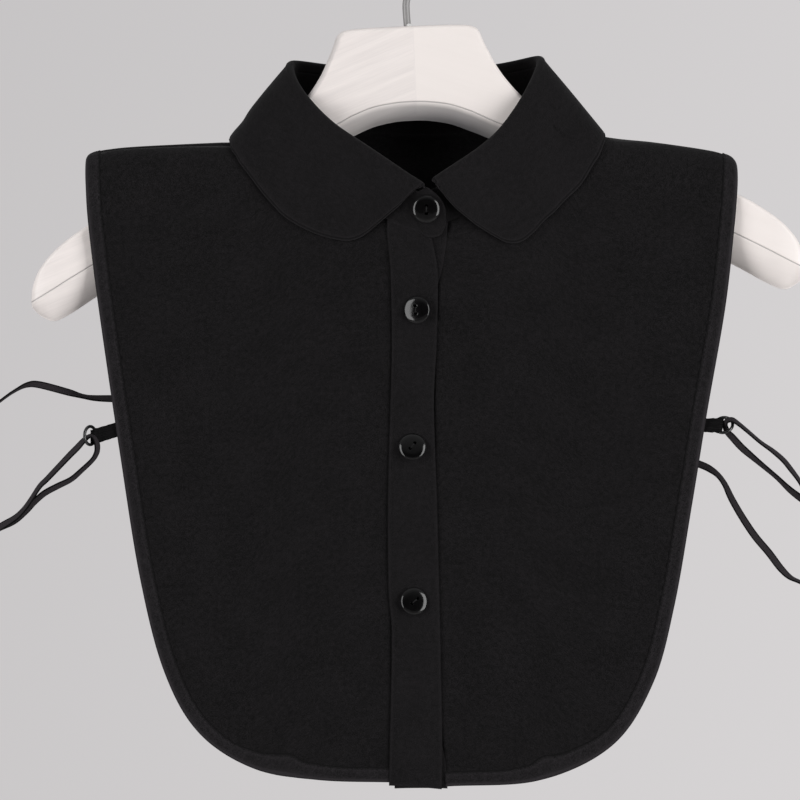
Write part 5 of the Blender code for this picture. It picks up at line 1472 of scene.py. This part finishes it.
BOARD = [  # x, top, groove, bottom and half of the thickness
    (0.0, -60.0, -99.2, -108.6, 7.0), (9.0, -60.0, -99.6, -109.0, 7.0),
    (20.0, -60.1, -101.4, -111.2, 7.1), (30.0, -60.6, -105.0, -115.2, 7.2),
    (34.0, -61.6, -106.9, -116.9, 7.2), (36.8, -64.0, -108.3, -118.2, 7.2),
    (39.2, -70.0, -109.5, -119.3, 7.2), (41.8, -75.6, -110.8, -120.5, 7.3),
    (45.0, -82.2, -112.2, -121.9, 7.4), (49.5, -89.2, -114.2, -124.1, 7.5),
    (55.5, -96.6, -117.0, -127.4, 7.6), (65.0, -106.2, -121.8, -132.8, 7.6),
    (78.0, -115.6, -128.8, -140.4, 7.7), (100.0, -126.0, -140.6, -153.4, 8.1),
    (130.0, -139.0, -156.4, -171.2, 8.8), (150.0, -147.3, -167.0, -182.8, 9.3),
    (167.6, -154.9, -176.3, -193.0, 9.7), (180.0, -162.6, -183.0, -200.4, 9.9),
    (189.0, -170.0, -188.2, -204.2, 10.0), (195.6, -178.0, -191.8, -201.6, 9.0),
    (199.2, -186.0, -193.6, -198.2, 7.0), (200.5, -191.8, -194.0, -196.2, 4.0),
]  # fmt: skip
HANGER_TILT = 2.5  # degrees, its arm at the right up
TOP_ROUND = 2.0  # of the arrises along its top
UNDER_ROUND = 1.2
THIN_EDGE = 0.35  # half of the thickness left at the arrises
TOP_STEPS = (0.0, 0.06, 0.2, 0.43, 0.75, 1.15, 1.6, 2.0, 2.4, 2.8)  # of the mesh, from its top
GROOVE_STEPS = (0.9, 0.45, 0.2, 0.0, -0.2, -0.45, -0.9)  # past the groove
LOW_SHARES = (0.2, 0.45, 0.7, 0.85, 0.93, 0.98, 1.0)  # down to its bottom
GROOVE_DEPTH = 0.45
GLUE_LINE = 2.6  # x of the joint of the two arms
GRAIN_SLOPE = 20.0  # of each arm's grain, down from the neck
tilt = Matrix.Rotation(math.radians(-HANGER_TILT), 4, "Y")


def whitewash_finish():
    """A white wash thinly laid on light wood, with the grain showing as faint grey streaks. One
    arm's grain shows more, and painted shade greys it where a value that the mesh carries is below
    0."""
    material, paint, shader = new_finish(
        "whitewashed_wood", Specular_IOR_Level=0.4, Coat_Weight=0.12, Coat_Roughness=0.35
    )
    flat = paint.flat()
    x, y, _ = paint.parts(flat)
    wander = paint.noise(paint.stretched(flat, (0.012, 0.05, 1.0)), 1.0, 2.0)
    streaks = paint.noise(paint.stretched(flat, (0.02, 0.42, 1.0)), 1.0, 5.0)
    fine = paint.noise(paint.stretched(flat, (0.05, 1.5, 1.0)), 1.0, 3.0)
    rings = paint.wave(y * 0.55 + wander * 16.0)
    pores = paint.maths("GREATER_THAN", fine, 0.64)
    first_arm = paint.maths("GREATER_THAN", x, 0.0)
    grain = rings * 0.12 + streaks * 0.5 + fine * 0.42
    plain = paint.between(grain * 0.3 + 0.5, (0.8, 0.74, 0.707), (0.95, 0.885, 0.855))
    shown = paint.between(grain * 1.3 - 0.15, (0.755, 0.7, 0.68), (0.96, 0.893, 0.862))
    colour = paint.between(first_arm, plain, shown)
    # painted shade, greyer where the value is below 0
    colour = paint.between(paint.marked("painted_light") * -1.0, colour, (0.17, 0.165, 0.17))
    finish_with(paint, shader, colour, streaks * 0.2 + 0.32, grain - pores * 0.35, 0.00006)
    return material


def rounded_off(away, radius):
    """How far a round arris has fallen back from the face, at a distance from its line."""
    over = np.clip(1 - away / radius, 0.0, 1.0)
    return radius * (1 - np.sqrt(1 - over**2))


def add_board():
    rows = [(-x, *rest) for x, *rest in reversed(BOARD[1:])] + list(BOARD)
    u = np.linspace(0, len(rows) - 1, (len(rows) - 1) * 7 + 1)
    x, top, groove, bottom, half = spline_at(rows, u).T
    slope = np.gradient(top) / np.gradient(x)
    lean = np.sqrt(1 + np.clip(slope, -3.2, 3.2) ** 2)
    columns = []  # of heights, from the top down to the groove and the bottom
    for near in TOP_STEPS:
        columns.append(top - np.minimum(near * lean, (top - groove) * 0.45 * near / TOP_STEPS[-1]))
    start = columns[-1]
    for t in np.linspace(0.0, 1.0, 12)[1:-1]:
        columns.append(start + (groove + GROOVE_STEPS[0] - start) * t)
    for near in GROOVE_STEPS:
        columns.append(np.where(start - groove > 2.0, groove + near, groove + near * 0.3))
    low = columns[-1]
    for t in LOW_SHARES:
        columns.append(low + (bottom - low) * t)
    z = np.stack(columns, 1)
    spread = np.broadcast_to(x[:, None], z.shape)
    points = np.stack([spread, z], -1).reshape(-1, 2)
    from_top, from_under = (
        nearest(points, np.stack([x, edge], -1))[1].reshape(z.shape) for edge in (top, bottom)
    )
    into_low = np.clip((groove[:, None] - z) / (groove - bottom)[:, None], 0.0, 1.0)
    wide = half[:, None] * (1 - 0.55 * into_low - 0.4 * into_low**3)
    wide -= GROOVE_DEPTH * hump(z, groove[:, None], 0.32)
    wide -= rounded_off(from_top, TOP_ROUND) + rounded_off(from_under, UNDER_ROUND)
    wide = np.maximum(wide, THIN_EDGE)
    wide[0] = wide[-1] = THIN_EDGE
    front = np.stack([spread, -wide, z], -1).reshape(-1, 3) * MM
    back = np.stack([spread, wide, z], -1).reshape(-1, 3) * MM
    # the grain's own coordinates on each arm
    turn = math.radians(GRAIN_SLOPE)
    px, pz = points.T
    side = np.where(px < GLUE_LINE, 1.0, -1.0)
    along = px * math.cos(turn) + side * pz * math.sin(turn)
    across = pz * math.cos(turn) - side * px * math.sin(turn)
    flat = np.stack([along + 700 * side, across], -1)
    # painted shade: greyer under the arch, in the groove and at one side of the neck, where those
    # faces lie in shade
    arch = np.exp(-(np.abs(spread / 75.0) ** 2.5)) * (0.82 + 0.34 * np.tanh(spread / 34.0))
    board_painted_shade = -arch * np.clip(into_low * 4, 0, 1) * (0.62 + 0.4 * into_low)
    board_painted_shade = board_painted_shade - 0.75 * hump(z, groove[:, None], 0.3)
    at_neck = (spread < -33) * (z > -100) * np.clip((-61.5 - z) / 4.0, 0, 1)
    board_painted_shade = board_painted_shade - 0.34 * at_neck * np.exp(-((from_top / 2.2) ** 8))
    faces = grid_faces(*z.shape)
    board = shell("hanger_board", front, back, faces, flat, whitewash_finish(), board_painted_shade)
    board.data.transform(tilt)
    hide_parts("hanger_board")


add_board()

# ---------------------------------------------------------------------------------------------
# The hook: bright plated steel wire, pushed into the top of the board and bent over. A dab of
# white filler closes the hole beside its shank.

HOOK_WIRE = 1.85
HOOK_INNER = 19.0  # the bend's inside radius
NECK_DROP = 60.0  # from the rail down to the top of the board
SHANK = (-13.4, 13.0)  # the straight wire's ends, in the board and above it
DAB_RADIUS = 1.35
DAB_PLACE = (0.75, -1.75, -NECK_DROP + 0.6)


def plated_finish():
    """Bright plating with a soft brushed haze."""
    material, paint, shader = new_finish("plated_wire", Metallic=1.0)
    place = paint.place()
    haze = paint.noise(place, 240.0, 3.0)
    draw = paint.noise(paint.stretched(place, (2200.0, 2200.0, 60.0)), 1.0, 2.0)
    colour = paint.between(haze, (0.33, 0.322, 0.32), (0.42, 0.41, 0.408))
    finish_with(paint, shader, colour, haze * 0.12 + draw * 0.06 + 0.58, draw, 0.00001)
    return material


plating = plated_finish()
white_filler = mottled(
    "white_filler", (1800.0, 1800.0, 1800.0), 3.0, (0.8, 0.8, 0.79), (0.92, 0.92, 0.9),
    (0.2, 0.45), 0.00006, Specular_IOR_Level=0.4,
)  # fmt: skip


def add_hook():
    """The wire: up from inside the board, over the rail and down to its tip."""
    radius = HOOK_INNER + 2.0
    centre = -HOOK_INNER
    foot, straight = (-NECK_DROP + end for end in SHANK)
    line = [(0, 0, foot), (0, 0, (foot + straight) / 2), (0, 0, straight)]
    line.append((3.6, 0, centre - radius * 1.09))
    for degrees in range(-48, 196, 16):
        a = math.radians(degrees)
        line.append((radius * math.cos(a), 0, centre + radius * math.sin(a)))
    line += [(-radius - 1.6, 0, centre - 9.5), (-radius - 4.6, 0, centre - 13.5)]
    line = [tilt @ Vector(p * MM) for p in spline(line, 10)]
    hook = tube("hook_wire", line, HOOK_WIRE * MM, 10, plating)
    ease_edges(hook, 0.8, 60)
    dress(hook.data, plating, 50)
    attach(hook, "root")
    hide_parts("hanger_hook")


def add_filler():
    """The dab: a small ball squashed out of round."""
    deselect_all()
    bpy.ops.mesh.primitive_uv_sphere_add(segments=32, ring_count=20, radius=DAB_RADIUS * MM)
    dab = bpy.context.object
    dab.name = dab.data.name = "hook_filler"
    for vert in dab.data.vertices:
        p = vert.co
        a = math.atan2(p.y, p.x)
        grow = 1 + 0.12 * math.sin(3 * a + 0.6) + 0.07 * math.sin(5 * a)
        vert.co = (p.x * grow * 0.95, p.y * grow, p.z * 0.8)
    dab.matrix_world = tilt @ Matrix.Translation(Vector(DAB_PLACE) * MM)
    settle(dab)
    dab.data.materials.append(white_filler)
    dab.data.shade_smooth()
    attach(dab, "root")


add_hook()
add_filler()

# ---------------------------------------------------------------------------------------------
# The studio: a plain pale floor well below, a pale surround, and two large soft lights in front,
# at the left and the right. The camera looks level at the middle of the garment.

FLOOR_TOP = -1.6
LIT_SPOT = (0.0, 0.0, -0.2)  # that both lights face
GARMENT_AWAY = 2.188  # from the camera to the front of the garment
SEEN_WIDE = 0.412  # at the garment
SENSOR = 36.0

bpy.context.scene.view_settings.view_transform = "Standard"


def plain_floor():
    deselect_all()
    bpy.ops.mesh.primitive_plane_add(size=11.5, location=(0.0, 0.0, FLOOR_TOP))
    floor = bpy.context.object
    floor.name = "studio_floor"
    pale, _, shader = new_finish("pale_floor", Roughness=0.8)
    shader.inputs["Base Color"].default_value = (0.4, 0.39, 0.39, 1)
    floor.data.materials.append(pale)


def studio_surround():
    """Pale grey behind the object, a little lighter low at the right, and a dimmer light all round
    that comes from above and behind."""
    world = bpy.data.worlds.new("studio")
    bpy.context.scene.world = world
    world.use_nodes = True
    world.node_tree.nodes.clear()
    paint = Paint(world.node_tree)
    x, y, z = paint.parts(paint.node("ShaderNodeTexCoord", {}, {}))
    low_right = x * 2.4 + z * -0.9 + 0.45
    above_behind = y * 0.4 + z * 0.8 + 0.3
    seen = paint.between(low_right, (0.545, 0.53, 0.535), (0.715, 0.695, 0.7))
    light = paint.between((above_behind - 0.1) * (1 / 0.9), (0.03, 0.03, 0.03), (0.8, 0.8, 0.81))
    seen = paint.node("ShaderNodeBackground", {}, {"Color": seen})
    light = paint.node("ShaderNodeBackground", {}, {"Color": light, "Strength": 0.6})
    is_camera_ray = paint.node("ShaderNodeLightPath", {}, {})
    surround = paint.node("ShaderNodeMixShader", {}, {0: is_camera_ray, 1: light, 2: seen})
    out = world.node_tree.nodes.new("ShaderNodeOutputWorld")
    world.node_tree.links.new(surround.socket, out.inputs["Surface"])


def soft_light(name, place, watts):
    """A tall soft light in front."""
    lamp = bpy.data.lights.new(name, "AREA")
    lamp.shape = "RECTANGLE"
    lamp.size, lamp.size_y = 1.2, 2.2
    lamp.energy = watts
    way = Vector(LIT_SPOT) - Vector(place)
    turned = way.to_track_quat("-Z", "Y").to_matrix().to_4x4()
    new_object(name, lamp).matrix_world = Matrix.Translation(place) @ turned


plain_floor()
studio_surround()
soft_light("left_light", (-1.68, -1.22, -0.14), 33.5)
soft_light("right_light", (1.68, -1.22, -0.14), 39)

camera_data = bpy.data.cameras.new("camera")
camera_data.sensor_width = SENSOR
camera_data.lens = SENSOR * GARMENT_AWAY / SEEN_WIDE
camera = new_object("camera", camera_data)
camera.location = (-0.0012, -2.2, -0.2531)
camera.rotation_euler = (math.radians(90), 0.0, 0.0)
bpy.context.scene.camera = camera
